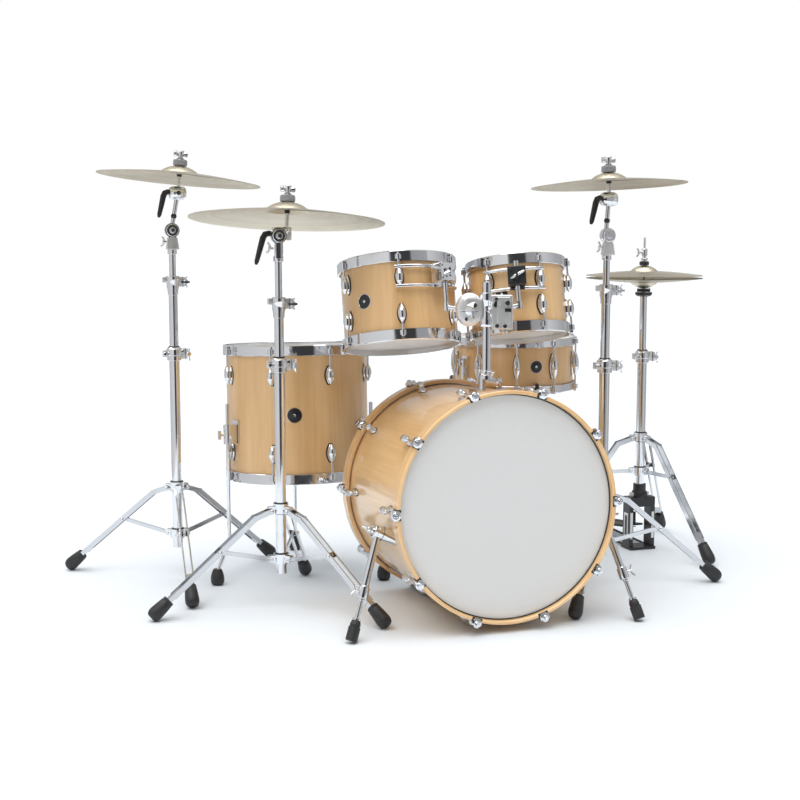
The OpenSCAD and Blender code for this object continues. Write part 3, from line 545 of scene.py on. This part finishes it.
claws, pads = Build(), Build()
for side in (1, -1):
    for i in range(BASS_LUGS):
        turn = AT_BASS @ Matrix.Scale(side, 4, (0, 0, 1)) @ rot(i * 360 / BASS_LUGS, "Z")
        gasket(pads, BASS_SHELL_R, turn @ move((0, 0, BASS_LUG_Y)), LUG_HALF + 3, GASKET_HALF_W)
        claw(claws, turn)
        pads.box((11.5, 27, 0.5), turn @ move((BASS_HOOP_R - 4.5, 0, FRONT + 0.3)), 0.1)
        pads.box((0.4, 27, 27), turn @ move((BASS_HOOP_R + 0.3, 0, FRONT - 13)), 0.1)
        at = turn @ move((BASS_ROD_R, 0, FRONT + 5.8))
        claws.lathe([(0, 0), (8.6, 0), (8.8, 1.6), (7.6, 2.6), (6.2, 2.6), (5.8, 1.4), (0, 1.4)],
                    at, 24)
        key_head(claws, at @ move((0, 0, 1)), 5.2, 3.2, 8.0)
claw_piece = claws.done("bass_claws_cast", "kit_base", "chrome", [chrome])
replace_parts(claw_piece, "bass_claws")
pads.done("bass_gaskets", "kit_base", "rubber", [rubber], 60)

# ---------- cymbal tilters ----------
def wing(build, at, reach, mat=0):
    """Two rounded wings of a wing screw, either side of the middle, along X."""
    for s in (1, -1):
        build.tube([at @ Vector((s * k * reach, 0, z)) for k, z in
                    ((0.1, 1), (0.45, 3), (0.8, 6.5), (1.0, 9), (1.06, 10.5))],
                   [3.6, 3.4, 3.9, 3.6, 1.2], 12, mat, 0.6)


def felt(build, at, r, low, high, mat):
    """A felt washer with softened edges, from height low to high."""
    build.lathe([(0, low), (r - 1.2, low), (r, low + 1.4), (r + 0.4, (low + high) / 2),
                 (r, high - 1.4), (r - 1.2, high), (0, high)], at, 32, mat)


def wing_nut(build, at):
    """The big wing nut on top of a cymbal."""
    build.lathe([(0, -2), (11, -2), (11.5, 0), (9, 2), (6.5, 4), (6.5, 9), (9.5, 11), (9.5, 21),
                 (8, 23), (0, 23)], at)
    for s in (1, -1):
        build.tube([at @ Vector((s * x, 0, z)) for x, z in
                    ((6, 13), (11, 13.4), (15, 14), (18, 14.4), (19.6, 14.4))],
                   [6.4, 7.2, 8.4, 8.0, 4.4], 14, 0, 0.95)


def clamp_screw(build, at, reach):
    """The screw of a stand's clamp, with its wings."""
    build.lathe([(0, 0), (4, 0), (4, 6), (7, 7.5), (7.4, 13), (6, 15), (0, 15)], at, 20)
    wing(build, at @ move((0, 0, 8)), reach)


TILTER_MATS = [chrome, cast, plastic, felt_grey, felt_black]
TEETH = 24
for name, (hinge_z, joint_z, *_, top) in TILT.items():
    # the part that turns: toothed disc, post, lever, sleeve, felts and wing nut
    b = Build()
    at = at_cymbal(name)
    low = at @ Vector((0, 0, -26))
    stand = STANDS[name][0]
    hinge = Vector((*stand, hinge_z))
    disc = facing(hinge, (0, 1, 0), (1, 0, 0))
    b.lathe([(4.1, 0.4), (18.6, 0.4), (20, 1.6), (20, 5), (18.4, 6.6), (18.4, 9), (16, 12),
             (10.5, 12), (9.5, 14.5), (4.1, 14.5), (4.1, 0.4)], disc, 36, 1)
    for k in range(TEETH):
        b.box((1.7, 1.5, 3.2), disc @ rot(k * 360 / TEETH, "Z") @ move((19.6, 0, 3.3)), 0.4)
    b.lathe([(0, 12), (7, 12), (7.6, 13), (7.6, 17), (6.4, 18.6), (0, 18.6)], disc, 6, 0)
    side = hinge + Vector((0, 8, 0))
    up = (low - side).normalized()
    b.tube([side + up * 10, side + up * 18, low - up * 8, low], [8.5, 6.2, 6.2, 6.2], 20, 0)
    b.lathe([(0, -9), (4, -8.2), (7, -5.8), (8.9, -2), (9, 1), (7.6, 5), (5, 8), (0, 9)],
            move(low), 24, 0)
    if name == "ride":
        b.box((48, 25, 34), move(hinge + Vector((13, 14, 5))), 5, 1)
        b.box((1.6, 25.6, 34.6), move(hinge + Vector((18, 14, 5))), 0.3, 2)
        lever = [hinge + Vector(v) for v in
                 ((-8, 8, 3), (-22, 8, 6), (-32, 8, 4), (-38, 8, -6), (-46, 8, -34),
                  (-55, 8, -66), (-57, 8, -74))]
    else:
        middle = side + (low - side) * 0.9
        ball = facing(middle, (1, 0, 0))
        b.lathe([(0, -25), (10, -24.6), (15.5, -22), (18.6, -16), (19.6, -8), (19.6, 3.6),
                 (18.4, 4.2), (18.4, 5.6), (19.4, 6.2), (18.6, 15), (15.5, 21), (10, 23.6),
                 (0, 24)], ball, 36, 0)
        b.lathe([(0, -20), (6.5, -20), (7.5, -18.5), (7.5, -15.5), (0, -15.5)],
                facing(middle, (0, 1, 0)), 6, 0)
        lever = [middle + Vector(v) for v in
                 ((-18, -2, 2), (-28, -3, 3), (-36, -4, 0), (-41, -5, -10), (-46, -5, -32),
                  (-53, -6, -60), (-55, -6, -68))]
        b.tube([side + up * 34, side + up * 40, side + up * 46], [6.3, 8.6, 6.3], 20, 2)
    b.tube(lever, [7.2, 8.2, 9.0, 8.8, 8.0, 6.6, 3.6], 16, 2, 0.85)
    under = top - CYMBAL_T
    b.lathe([(0, -24), (5.2, -24), (5.2, top - 29), (0, top - 29)], at, 20, 0)
    b.lathe([(4.95, top - 30), (7, top - 30), (7, under - 12), (4.95, under - 12),
             (4.95, top - 30)], at, 20, 2)
    b.lathe([(4.9, top - 17), (15, top - 17), (16.5, top - 16), (15.5, top - 13.6),
             (4.9, top - 13.6), (4.9, top - 17)], at, 32, 2)
    felt(b, at, 16.4, under - 12, under - 2.6, 4)
    sleeve = HUB_R - 0.07
    b.lathe([(0, top - 14), (sleeve, top - 14), (sleeve, top + 1), (0, top + 1)], at, 24, 2)
    felt(b, at, 19.6, top + 0.4, top + 15.6, 3)
    b.lathe([(0, top + 15.6), (18.6, top + 15.6), (18.8, top + 16.6), (17.6, top + 17.4),
             (0, top + 17.4)], at, 32, 0)
    wing_nut(b, at @ move((0, 0, top + 19.4)))
    thread = [(3.9 - 0.45 * (k % 2), top + 41 + k * 0.9) for k in range(5)]
    b.lathe([(0, top + 40), (3.9, top + 40), *thread, (0, top + 45.5)], at, 18)
    piece = b.done(name + "_tilter_cast", name + "_tilter", "chrome", TILTER_MATS)
    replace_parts(piece, name + "_tilter")
    # the fixed half, with the clamp at the column's joint
    b = Build()
    b.lathe([(0, 12.2), (17.5, 12.2), (17.5, 14), (15.8, 15.4), (9, 15.4), (8, 17), (0, 17)],
            facing(hinge, (0, -1, 0)), 32, 0)
    b.lathe([(0, 17), (6.6, 17), (7.4, 18), (7.4, 22), (6.2, 23.4), (0, 23.4)],
            facing(hinge, (0, -1, 0)), 6, 0)
    if name == "ride":
        b.box((22, 14.6, 46), move(hinge + Vector((0, -6.8, -38))), 6, 0)
    else:
        b.box((27, 13.6, 34), move(hinge + Vector((0, -7, -36))) @ rot(180, "X"), 3, 1, 1.35)
    b.lathe([(0, 0), (12.6, 0), (13, 1.5), (13, 12), (11, 15), (0, 15)],
            move(hinge + Vector((0, 0, -66))), 28, 0)
    screw = facing(hinge + Vector((-14, -7, -33)), (-1, 0, 0.15))
    b.lathe([(0, 0), (3.6, 0), (3.6, 7), (5.4, 8), (5.4, 13), (0, 13)], screw, 16, 0)
    wing(b, screw @ move((0, 0, 7)), 13, 0)
    joint = move((*stand, joint_z - 16))
    b.lathe([(14.2, 32.4), (17.8, 32.4), (18.6, 31.4), (18.6, 18), (17.6, 16), (17.6, 4),
             (15.2, -8), (14.6, -20), (12.7, -21), (12.7, 0.4)][::-1], joint, 36, 0)
    b.box((25, 17.8, 27), joint @ move((24, 0, 16)), 3, 1)
    b.box((1.4, 18.4, 27.6), joint @ move((27, 0, 16)), 0.3, 2)
    b.box((16, 16, 16), joint @ move((-21, 0, 22)), 2.6, 1)
    clamp_screw(b, facing(joint @ Vector((31, -8, 16)), (0.25, -1, 0)), 14)
    b.done(name + "_yoke", name + "_column", "chrome", [chrome, cast, plastic])

# ---------- spurs ----------
def spur_line(side):
    """A spur's pivot, the direction and length of its leg, and its hinge's axis."""
    pivot = Vector((side * 306, -140, 251))
    run = Vector(SPUR_FEET[side]) - pivot
    d = run.normalized()
    return pivot, d, run.length, d.cross(Vector((0, -side, 0))).normalized()


for side_name, side in (("left", -1), ("right", 1)):
    pivot, d, length, axis = spur_line(side)
    # where the rim of the tilted rubber tip, of radius 15, meets the floor
    end = (pivot.z - 15 * math.sqrt(1 - d.z * d.z)) / -d.z
    b = Build()
    at = facing(pivot, d, (0, 1, 0))
    knuckle = facing(pivot - axis * (SPUR_R + 5), axis, d)
    b.lathe([(4.06, 0), (15.5, 0), (17, 1.5), (17, 8), (15.8, 9), (15.8, 10), (17, 11),
             (17, 23.4), (16, 24), (4.06, 24), (4.06, 0)], knuckle, 36, 0)
    b.lathe([(0, 10), (SPUR_R, 10), (SPUR_R, length * 0.54), (12.6, length * 0.545),
             (13.4, length * 0.56), (13.4, length * 0.64), (12.4, length * 0.66),
             (7.2, length * 0.665), (7.2, length * 0.68), (5.5, length * 0.685),
             (5.5, length - 36), (9.5, length - 36), (11, length - 34.5),
             (11, length - 31), (9, length - 29), (0, length - 29)], at, 28, 0)
    clamp_at = facing(pivot + d * length * 0.6, -axis, d)
    b.lathe([(0, 10), (5.2, 10), (5.2, 20), (3.4, 21), (3.4, 25), (0, 25)], clamp_at, 16, 0)
    wing(b, clamp_at @ move((0, 0, 21)), 14, 0)
    b.lathe([(0, length - 31), (9.5, length - 31), (11, length - 29.5), (12.6, length - 24),
             (13.4, length - 19), (13.4, length - 17.6), (12.6, length - 17),
             (12.6, length - 15.4), (15, length - 13.4), (15, end - 5), (14.9, end), (0, end)],
            at, 28, 1)
    piece = b.done(f"spur_{side_name}_leg", f"spur_{side_name}", "chrome", [chrome, rubber])
    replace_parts(piece, f"spur_{side_name}")
b = Build()
for side in (-1, 1):
    pivot, _, _, axis = spur_line(side)
    cap = facing(pivot - axis * (SPUR_R + 21.4), axis, (0, 1, 0))
    b.lathe([(0, 0), (6.2, 0), (8, 1.6), (8, 7.2), (0, 7.2)], cap, 24)
    wing(b, cap @ rot(180, "X"), 15)
b.done("spur_bolts", "kit_base", "chrome", [chrome])

# ---------- hi-hat: clutch, felts and rod ----------
HAT = move((*HAT_XY, 0))
hat_top = HAT_Z + HAT_GAP + CYMBAL_T + HAT_H
b = Build()
b.lathe([(0, 145), (3.2, 145), (3.2, 972), (2.2, 974), (0, 974)], HAT, 16, 0)
felt(b, HAT, 14.6, hat_top + 0.4, hat_top + 12, 1)
felt(b, HAT, 14, hat_top - CYMBAL_T - 11, hat_top - CYMBAL_T - 1.9, 1)
b.lathe([(3.2, hat_top - 22), (10, hat_top - 22), (10.6, hat_top - 20), (10.6, hat_top - 14),
         (3.2, hat_top - 14), (3.2, hat_top - 22)], HAT, 24, 0)
b.lathe([(3.2, hat_top - 14), (4.6, hat_top - 14), (4.6, hat_top + 12), (11, hat_top + 12.2),
         (11, hat_top + 13.6), (7, hat_top + 14.4), (7, hat_top + 16), (10, hat_top + 16),
         (10.4, hat_top + 17), (10.4, hat_top + 21), (9.6, hat_top + 22), (6, hat_top + 22),
         (6, hat_top + 29), (8.6, hat_top + 30), (9, hat_top + 31), (9, hat_top + 49),
         (8, hat_top + 50.5), (3.2, hat_top + 52), (3.2, hat_top - 14)], HAT, 28, 0)
screw = facing(HAT @ Vector((-8, 0, hat_top + 40)), (-1, 0, 0))
b.lathe([(0, 0), (3.6, 0), (3.6, 9), (5, 10), (5, 14), (0, 14)], screw, 16, 0)
wing(b, screw @ move((0, 0, 9)), 13, 0)
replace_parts(b.done("hi_hat_clutch_and_rod", "hi_hat_top", "chrome", [chrome, felt_black]),
            "hi_hat_rod")
b = Build()
seat_z = HAT_Z - HAT_H
felt(b, HAT, 20.2, seat_z - 12.2, seat_z - 0.4, 1)
b.lathe([(12, seat_z - 26), (19, seat_z - 25), (25, seat_z - 21), (26.4, seat_z - 14),
         (25.4, seat_z - 12.2), (12, seat_z - 12.2), (12, seat_z - 26)], HAT, 32)
b.done("hi_hat_seat", "hi_hat_column", "rubber", [plastic, felt_black])

# ---------- stands: nylon rings and spacers, rivets, clamps ----------
def leg_line(foot_r, up_z):
    """The knee, tip and direction of a tripod's leg, in the plane of that leg."""
    knee = Vector((KNEE_X, 0, up_z - 22))
    tip = Vector((foot_r - 2, 0, 11))
    return knee, tip, (tip - knee).normalized()


rings, rivets = Build(), Build()
OUTER_RIVET = [(0, 12.1), (5.6, 12.1), (5.6, 13.2), (4.6, 15), (2.6, 16.2), (0, 16.6)]
INNER_RIVET = [(0, 8.1), (5, 8.1), (5, 9), (4, 10.6), (0, 11.3)]
for place, foot_r, up_z, low_z, clamp_z, angle in STANDS.values():
    base = move((*place, 0))
    for z, r_in, r_out in ((clamp_z + 19, COLUMN_R + 0.1, 15.4), (up_z + 13, TUBE_R + 0.05, 17.5),
                           (low_z + 13, TUBE_R + 0.05, 17.5), (up_z - 15, TUBE_R + 0.05, 17.5)):
        rings.lathe([(r_in, z), (r_out, z), (r_out, z + 2.2), (r_out - 0.8, z + 3),
                     (r_in, z + 3), (r_in, z)], base, 28)
    knee, _, run = leg_line(foot_r, up_z)
    mid = knee + run * foot_r * 0.36
    for k in range(3):
        leg = base @ rot(angle + 120 * k, "Z")
        for p in (Vector((LEG_PIVOT_X, 0, up_z - 6)), mid, Vector((LEG_PIVOT_X, 0, low_z))):
            for s in (1, -1):
                pin = leg @ move(p) @ rot(-90 * s, "X")
                rivets.lathe(OUTER_RIVET if p.z > low_z + 1 else INNER_RIVET, pin, 18)
                if p is mid:
                    rings.lathe([(3.5, 3.5), (7.2, 3.5), (7.2, 7.9), (3.5, 7.9), (3.5, 3.5)],
                                pin, 20)
rings.done("stand_nylon_rings", "kit_base", "rubber", [plastic])
b = Build()
bore, small_bore = TUBE_R + 0.1, COLUMN_R + 0.12
for place, *_, clamp_z, _ in STANDS.values():
    base = move((*place, clamp_z - 19))
    b.lathe([(bore, 0), (18.6, 0), (20, 1.4), (20, 14), (22, 16), (22, 32), (20.5, 34.5),
             (17, 38), (small_bore, 38), (small_bore, 19), (bore, 19), (bore, 0)], base, 36)
    b.box((25, 19, 29), base @ move((28, 0, 19)), 3.5, 2)
    b.box((1.4, 19.8, 29.6), base @ move((31, 0, 19)), 0.3, 1)
    b.box((15, 17, 19), base @ move((-25, 0, 20)), 3, 2)
    for x, at_z, size in ((-27, 20, 5.5), (22, 27, 4.5)):
        b.lathe([(0, 8), (size, 8), (size + 0.6, 9), (size + 0.6, 13), (size - 1, 14.4), (0, 14.4)],
                facing(base @ Vector((x, 0, at_z)), (0, -1, 0)), 6)
    clamp_screw(b, facing(base @ Vector((35, -9, 18)), (0.25, -1, 0)), 16)
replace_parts(b.done("stand_clamps_cast", "kit_base", "chrome", [chrome, plastic, cast]),
            "stand_clamps")
rivets.done("stand_rivets", "kit_base", "chrome", [chrome])

# ---------- snare basket tips ----------
b = Build()
arm_top = SNARE_Z - 88
BASKET_PHASE = 268
for k in range(3):
    grip = move((*SNARE_XY, 0)) @ rot(BASKET_PHASE + 120 * k, "Z")
    b.tube([grip @ Vector(v) for v in ((192.5, 0, arm_top - 26), (192.5, 0, arm_top + 24),
                                       (192, 0, arm_top + 38), (190.6, 0, arm_top + 41))],
           [8.6, 8.8, 8.0, 3.5], 18, 0, 0.8)
b.done("snare_basket_tips", "snare_drum", "rubber", [rubber])

# ---------- tom holder housings ----------
b = Build()
FACE = Vector((-0.309, -0.951, 0))  # the level direction that both housings face
left = facing(BALLS["left"], -FACE) @ Matrix.Diagonal((1.2, 1, 1, 1))
b.lathe([(0, -21), (22, -20.6), (31, -17.5), (35.5, -11), (36, 1), (33.5, 8), (25, 8),
         (17, -2), (17, -16.8), (0, -16.8)], left, 48, 1)
b.lathe([(0, -26), (6, -26), (7, -25), (7, -19), (0, -19)], left @ move((10, 12, 0)), 6, 0)
b.lathe([(0, -24.4), (4, -24.4), (4.4, -23.6), (4.4, -18), (0, -18)], left @ move((-19, -9, 0)),
        18, 0)
b.box((3, 44, 3), left @ move((-3, 0, -20.4)), 0.8, 0)
right = facing(BALLS["right"] + Vector((-8, -28, -6)), -FACE)
b.box((88, 54, 14), right, 5, 1)
b.box((70, 34, 6), right @ move((4, 3, -8)), 2.4, 1)
for x, y, size in ((-34, -14, 5.5), (-34, 6, 5.5), (24, 12, 7), (34, -16, 4.5)):
    b.lathe([(0, -15.5), (size, -15.5), (size + 0.6, -14.5), (size + 0.6, -6), (0, -6)],
            right @ move((x, y, 0)), 6, 0)
b.box((26, 9, 3), right @ move((26, -14, -7.6)) @ rot(28, "Z"), 1, 2)
b.box((9, 16, 3), right @ move((6, 14, -11.6)), 1, 2)
wing_at = facing((0, POST_Y - 15, BALL_Z), (0, -1, 0))
b.lathe([(0, 0), (7, 0), (7, 5), (4, 6), (4, 15), (0, 15)], wing_at, 20, 0)
wing(b, wing_at @ move((0, 0, 12)), 19, 0)
bore = POST_R + 0.1
post = move((0, POST_Y, 0))
b.lathe([(bore, 752), (17, 752), (18, 754), (18, 778), (16.6, 780), (16.6, 812), (18, 814),
         (18, 836), (17, 838), (bore, 838), (bore, 752)], post, 32)
lock = post @ move((0, 0, POST_LOCK_Z))
b.lathe([(bore, 0), (16, 0), (16.6, 1), (16.6, 11), (16, 12), (bore, 12), (bore, 0)], lock)
b.box((9, 15, 11), lock @ move((0, -19, 6)), 1.6)
b.lathe([(0, 0), (3.1, 0), (3.1, 9), (0, 9)], facing(lock @ Vector((4, -21, 6)), (1, 0, 0)), 12)
b.done("tom_holder_housings", "tom_post", "chrome", [chrome, cast, plastic])

# ---------- rubber feet, and the metal hoop of the front head, black as painted shade of its gap ---
b = Build()
for place, foot_r, up_z, *_, angle in STANDS.values():
    _, tip, run = leg_line(foot_r, up_z)
    # the end grows until its lowest rim nearly touches the floor
    low = tip.z + 1.5 * -run.z - 15.2 * run.x
    more = min(max(low - 0.2, 0) / -run.z, 2.5)
    cuff = facing(tip - run * FOOT_LEN, run, (0, 1, 0))
    for k in range(3):
        at = move((*place, 0)) @ rot(angle + 120 * k, "Z") @ cuff
        b.lathe([(0, 13), (13.6, 13), (15.2, 14.4), (15.6, 18), (15, 19.4), (15, 20.8), (16, 22.2),
                 (17.6, 38), (19, 56), (19, 61), (18.2, 67 + more * 0.5), (15.2, 73.5 + more),
                 (11, 76.6 + more), (0, 77 + more)], at, 36)
for k in range(3):
    b.lathe([(0, 0.02), (13.6, 0.02), (14.6, 1), (18.6, 7.4), (19, 9), (19, 23), (18.2, 26),
             (15.4, 37), (14.2, 38.4), (14.2, 40), (13, 42), (11, 45.6), (0, 45.9)],
            move((*DRUMS["floor_tom"][0][:2], 0)) @ rot(FLOOR_LEG_PHASE + 120 * k, "Z")
            @ move((FLOOR_LEG_REACH, 0, 0)), 36)
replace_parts(b.done("feet_moulded", "kit_base", "rubber", [rubber]), "rubber_feet")
b = Build()
# The front head's metal hoop is a real part, but its black stands for the shade in the gap between
# the wooden hoop and the head: partly real, partly painted shade.
HOOP_STEPS = 96
b.tube([AT_BASS @ rot(360 / HOOP_STEPS * k, "Z") @ Vector((BASS_SHELL_R + 2.2, 0, FRONT - 16.6))
        for k in range(HOOP_STEPS + 1)], 1.5, 10)
b.done("bass_head_hoop_dark_as_gap_shade", "kit_base", "black_metal", [black_metal])

# ---------- rack toms: rails, and the clamp round the arm ----------
for drum, mat in (("tom_left", 0), ("tom_right", 1)):
    r, _, _, phase, lug_z = DRUMS[drum][2:]
    turn = at_drum(drum)
    b = Build()
    for z in (lug_z + LUG_HALF + 1.5, lug_z - LUG_HALF - 1.5):
        b.tube([turn @ rot(phase - 3.6 + 3.36 * k, "Z") @ Vector((r + 12.6, 0, z))
                for k in range(21)], 5.0, 14)
    arm = turn @ rot(ARM_ANGLES[drum], "Z") @ move((r + ARM_REACH, 0, lug_z + 1))
    b.lathe([(14.6, -24), (30, -24), (33, -21.5), (33, 22.5), (30, 25), (14.6, 25),
             (14.6, -24)], arm @ Matrix.Diagonal((0.70, 1, 1, 1)) @ rot(45, "Z"), 4, mat)
    for z in (-15, 17):
        b.lathe([(0, 0), (4.2, 0), (4.6, 1), (4.6, 3.4), (0, 4)],
                arm @ facing((16.6, -15, z), (1, 0, 0)), 6, 0)
    b.tube([arm @ Vector(v) for v in ((17, -15, -7), (21, -10, -5), (23, -2, -1), (23, 8, 4),
                                      (22, 16, 8), (21, 20, 10))],
           [3.4, 4.8, 5.4, 5.0, 4.2, 2.0], 14, 0, 0.8)
    b.done(drum + "_clamp", BODY_OF[drum], "chrome", [chrome, black_metal], 30)

# ---------- hi-hat pedal: treads, posts' slots, spring seats ----------
b = Build()
heel = Vector((HAT_XY[0], HAT_XY[1] + 285, 30))
toe = Vector((HAT_XY[0], HAT_XY[1] + 26, 66))
along = (toe - heel).normalized()
TREADS, TREAD_STEP, TREAD_LIFT = 11, 20, 6.4
for k in range(TREADS):
    b.box((44 - k * 0.8, 2.2, 3.2),
          facing(heel + along * (34 + k * TREAD_STEP), along, (1, 0, 0))
          @ move((0, -TREAD_LIFT, 0)), 0.8)
b.tube([heel + along * s + Vector((0, 0, TREAD_LIFT)) for s in (20, 60, 140, 220, 250)],
       [1, 7, 8, 6, 1], 16, 0, 0.16)
b.done("hi_hat_treads", "hi_hat_footboard", "black_metal", [black_metal])
b = Build()
PEDAL_TOP = 165
for s in (-1, 1):
    b.box((1.2, 26, 78), HAT @ move((s * 44.4, 0, 76)), 0.5, 1)
    b.box((0.8, 14, 62), HAT @ move((s * 45.2, 0, 76)), 0.3)
    b.box((9, 1.2, 84), HAT @ move((s * 37, -22.4, 76)), 0.5, 1)
    b.lathe([(4.2, 0), (8, 0.6), (8.4, 3), (8.4, 12), (7.6, 14), (0, 14)],
            HAT @ move((s * 26, 0, PEDAL_TOP)), 20, 1)
b.lathe([(12.6, 0), (24, 0), (25.5, 2), (25.5, 12), (22, 18), (14.4, 20)],
        HAT @ move((0, 0, PEDAL_TOP)), 32)
b.done("hi_hat_pedal_trim", "kit_base", "black_metal", [black_metal, cast])

# ---------- floor, light, camera ----------
def plane(name, size, at):
    mesh = bpy.data.meshes.new(name)
    x, y = size[0] / 2, size[1] / 2
    mesh.from_pydata([(-x, -y, 0), (x, -y, 0), (x, y, 0), (-x, y, 0)], [], [(0, 1, 2, 3)])
    obj = bpy.data.objects.new(name, mesh)
    obj.matrix_world = at
    bpy.context.scene.collection.objects.link(obj)
    return obj


floor = plane("studio_floor", (80, 80), move((0, 0, -0.0005)))
FLOOR_DARK, FLOOR_LIGHT = (0.80, 0.85, 0.895), (0.815, 0.865, 0.91)
floor_mat, tree, bsdf = new_material("studio_white", FLOOR_LIGHT, 0.55, spec=0.25)
soft = noise(tree, coords(tree), 1.2, 2)
tree.links.new(mix(tree, soft, FLOOR_DARK, FLOOR_LIGHT), bsdf.inputs["Base Color"])
floor.data.materials.append(floor_mat)

# A ring of grey and dark cards that only reflections see, to give the chrome its contrast
RING_R, RING_TOP, RING_N = 2.3, 2.3, 96
ring_mesh = bpy.data.meshes.new("reflection_ring")
ring_mesh.from_pydata(
    [(RING_R * math.cos(2 * math.pi * k / RING_N), RING_R * math.sin(2 * math.pi * k / RING_N), z)
     for z in (0.0, RING_TOP) for k in range(RING_N)], [],
    [(k, (k + 1) % RING_N, RING_N + (k + 1) % RING_N, RING_N + k) for k in range(RING_N)])
ring = bpy.data.objects.new("reflection_ring", ring_mesh)
ring.matrix_world = rot(-18, "Z")
bpy.context.scene.collection.objects.link(ring)
ring.visible_camera = False
ring.visible_diffuse = False
ring.visible_shadow = False
ring_mat = bpy.data.materials.new("ring_of_cards")
ring_mat.use_nodes = True
tree = ring_mat.node_tree
parts = node(tree, "ShaderNodeSeparateXYZ",
             [("Vector", node(tree, "ShaderNodeTexCoord").outputs["Object"])])
back_y = node(tree, "ShaderNodeMath", [(0, parts.outputs[1])], operation="MULTIPLY")
back_y.inputs[1].default_value = -1
turned = node(tree, "ShaderNodeMath", [(0, parts.outputs[0]), (1, back_y.outputs[0])],
              operation="ARCTAN2")
cards = ramp(tree, spread(tree, turned.outputs[0], 0, 1, -math.pi, math.pi), [
    (0.00, (0.50, 0.50, 0.51)), (0.20, (0.62, 0.62, 0.63)), (0.36, (0.74, 0.74, 0.75)),
    (0.455, (0.78, 0.78, 0.79)), (0.463, (0.05, 0.05, 0.052)), (0.565, (0.05, 0.05, 0.052)),
    (0.573, (0.36, 0.36, 0.37)), (0.66, (0.42, 0.42, 0.43)), (0.67, (0.70, 0.70, 0.71)),
    (0.78, (0.45, 0.45, 0.46)), (1.00, (0.50, 0.50, 0.51))])
glow = node(tree, "ShaderNodeEmission", [("Color", cards)])
tree.links.new(glow.outputs[0], tree.nodes["Material Output"].inputs["Surface"])
ring_mat.cycles.emission_sampling = "NONE"
ring_mesh.materials.append(ring_mat)

world = bpy.data.worlds.new("studio")
bpy.context.scene.world = world
world.use_nodes = True
tree = world.node_tree
# A soft room: bright above, grey at the sides; the camera itself sees plain white
sky = node(tree, "ShaderNodeTexCoord")
height = node(tree, "ShaderNodeSeparateXYZ", [("Vector", sky.outputs["Generated"])])
room = ramp(tree, spread(tree, height.outputs[2], 0, 1, -0.15, 1.0), [
    (0.0, (0.45, 0.45, 0.46)), (0.16, (0.22, 0.22, 0.23)), (0.40, (0.14, 0.14, 0.15)),
    (0.60, (0.55, 0.55, 0.56)), (1.0, (0.95, 0.95, 0.95))])
back = tree.nodes["Background"]
tree.links.new(room, back.inputs["Color"])
back.inputs["Strength"].default_value = 0.9
white = node(tree, "ShaderNodeBackground")
white.inputs["Color"].default_value = (1, 1, 1, 1)
rays = node(tree, "ShaderNodeLightPath")
join = node(tree, "ShaderNodeMixShader", [(0, rays.outputs["Is Camera Ray"]),
                                          (1, back.outputs[0]), (2, white.outputs[0])])
tree.links.new(join.outputs[0], tree.nodes["World Output"].inputs["Surface"])


def area(name, loc, target, size, power, color=(1, 1, 1)):
    light = bpy.data.lights.new(name, "AREA")
    light.shape = "RECTANGLE"
    light.size, light.size_y = size
    light.energy = power
    light.color = color
    obj = bpy.data.objects.new(name, light)
    obj.location = loc
    obj.rotation_euler = (Vector(target) - Vector(loc)).to_track_quat("-Z", "Y").to_euler()
    bpy.context.scene.collection.objects.link(obj)


def sun(name, direction, strength, angle):
    light = bpy.data.lights.new(name, "SUN")
    light.energy = strength
    light.angle = math.radians(angle)
    obj = bpy.data.objects.new(name, light)
    obj.rotation_euler = Vector(direction).to_track_quat("-Z", "Y").to_euler()
    bpy.context.scene.collection.objects.link(obj)


sun("overhead", (0.20, 0.13, -0.97), 2.75, 75)
area("key", (-2.4, -2.6, 2.6), (0, 0, 0.6), (1.6, 1.6), 7, (1, 0.99, 0.97))

# the camera was solved from points of the photograph, in mm about the bass drum's foot
CAMERA_AT, CAMERA_YAW, CAMERA_PITCH, CAMERA_LENS = (-1281, -3348, 994), 17.82, 7.01, 61.97
cam = bpy.data.cameras.new("camera")
cam.sensor_width = 36
cam.lens = CAMERA_LENS
cam_obj = bpy.data.objects.new("camera", cam)
cam_obj.location = (Vector(CAMERA_AT) - KIT_MID) / 1000
cam_obj.rotation_euler = (math.radians(90 - CAMERA_PITCH), 0, math.radians(-CAMERA_YAW))
bpy.context.scene.collection.objects.link(cam_obj)
bpy.context.scene.camera = cam_obj
bpy.context.scene.view_settings.view_transform = "Standard"
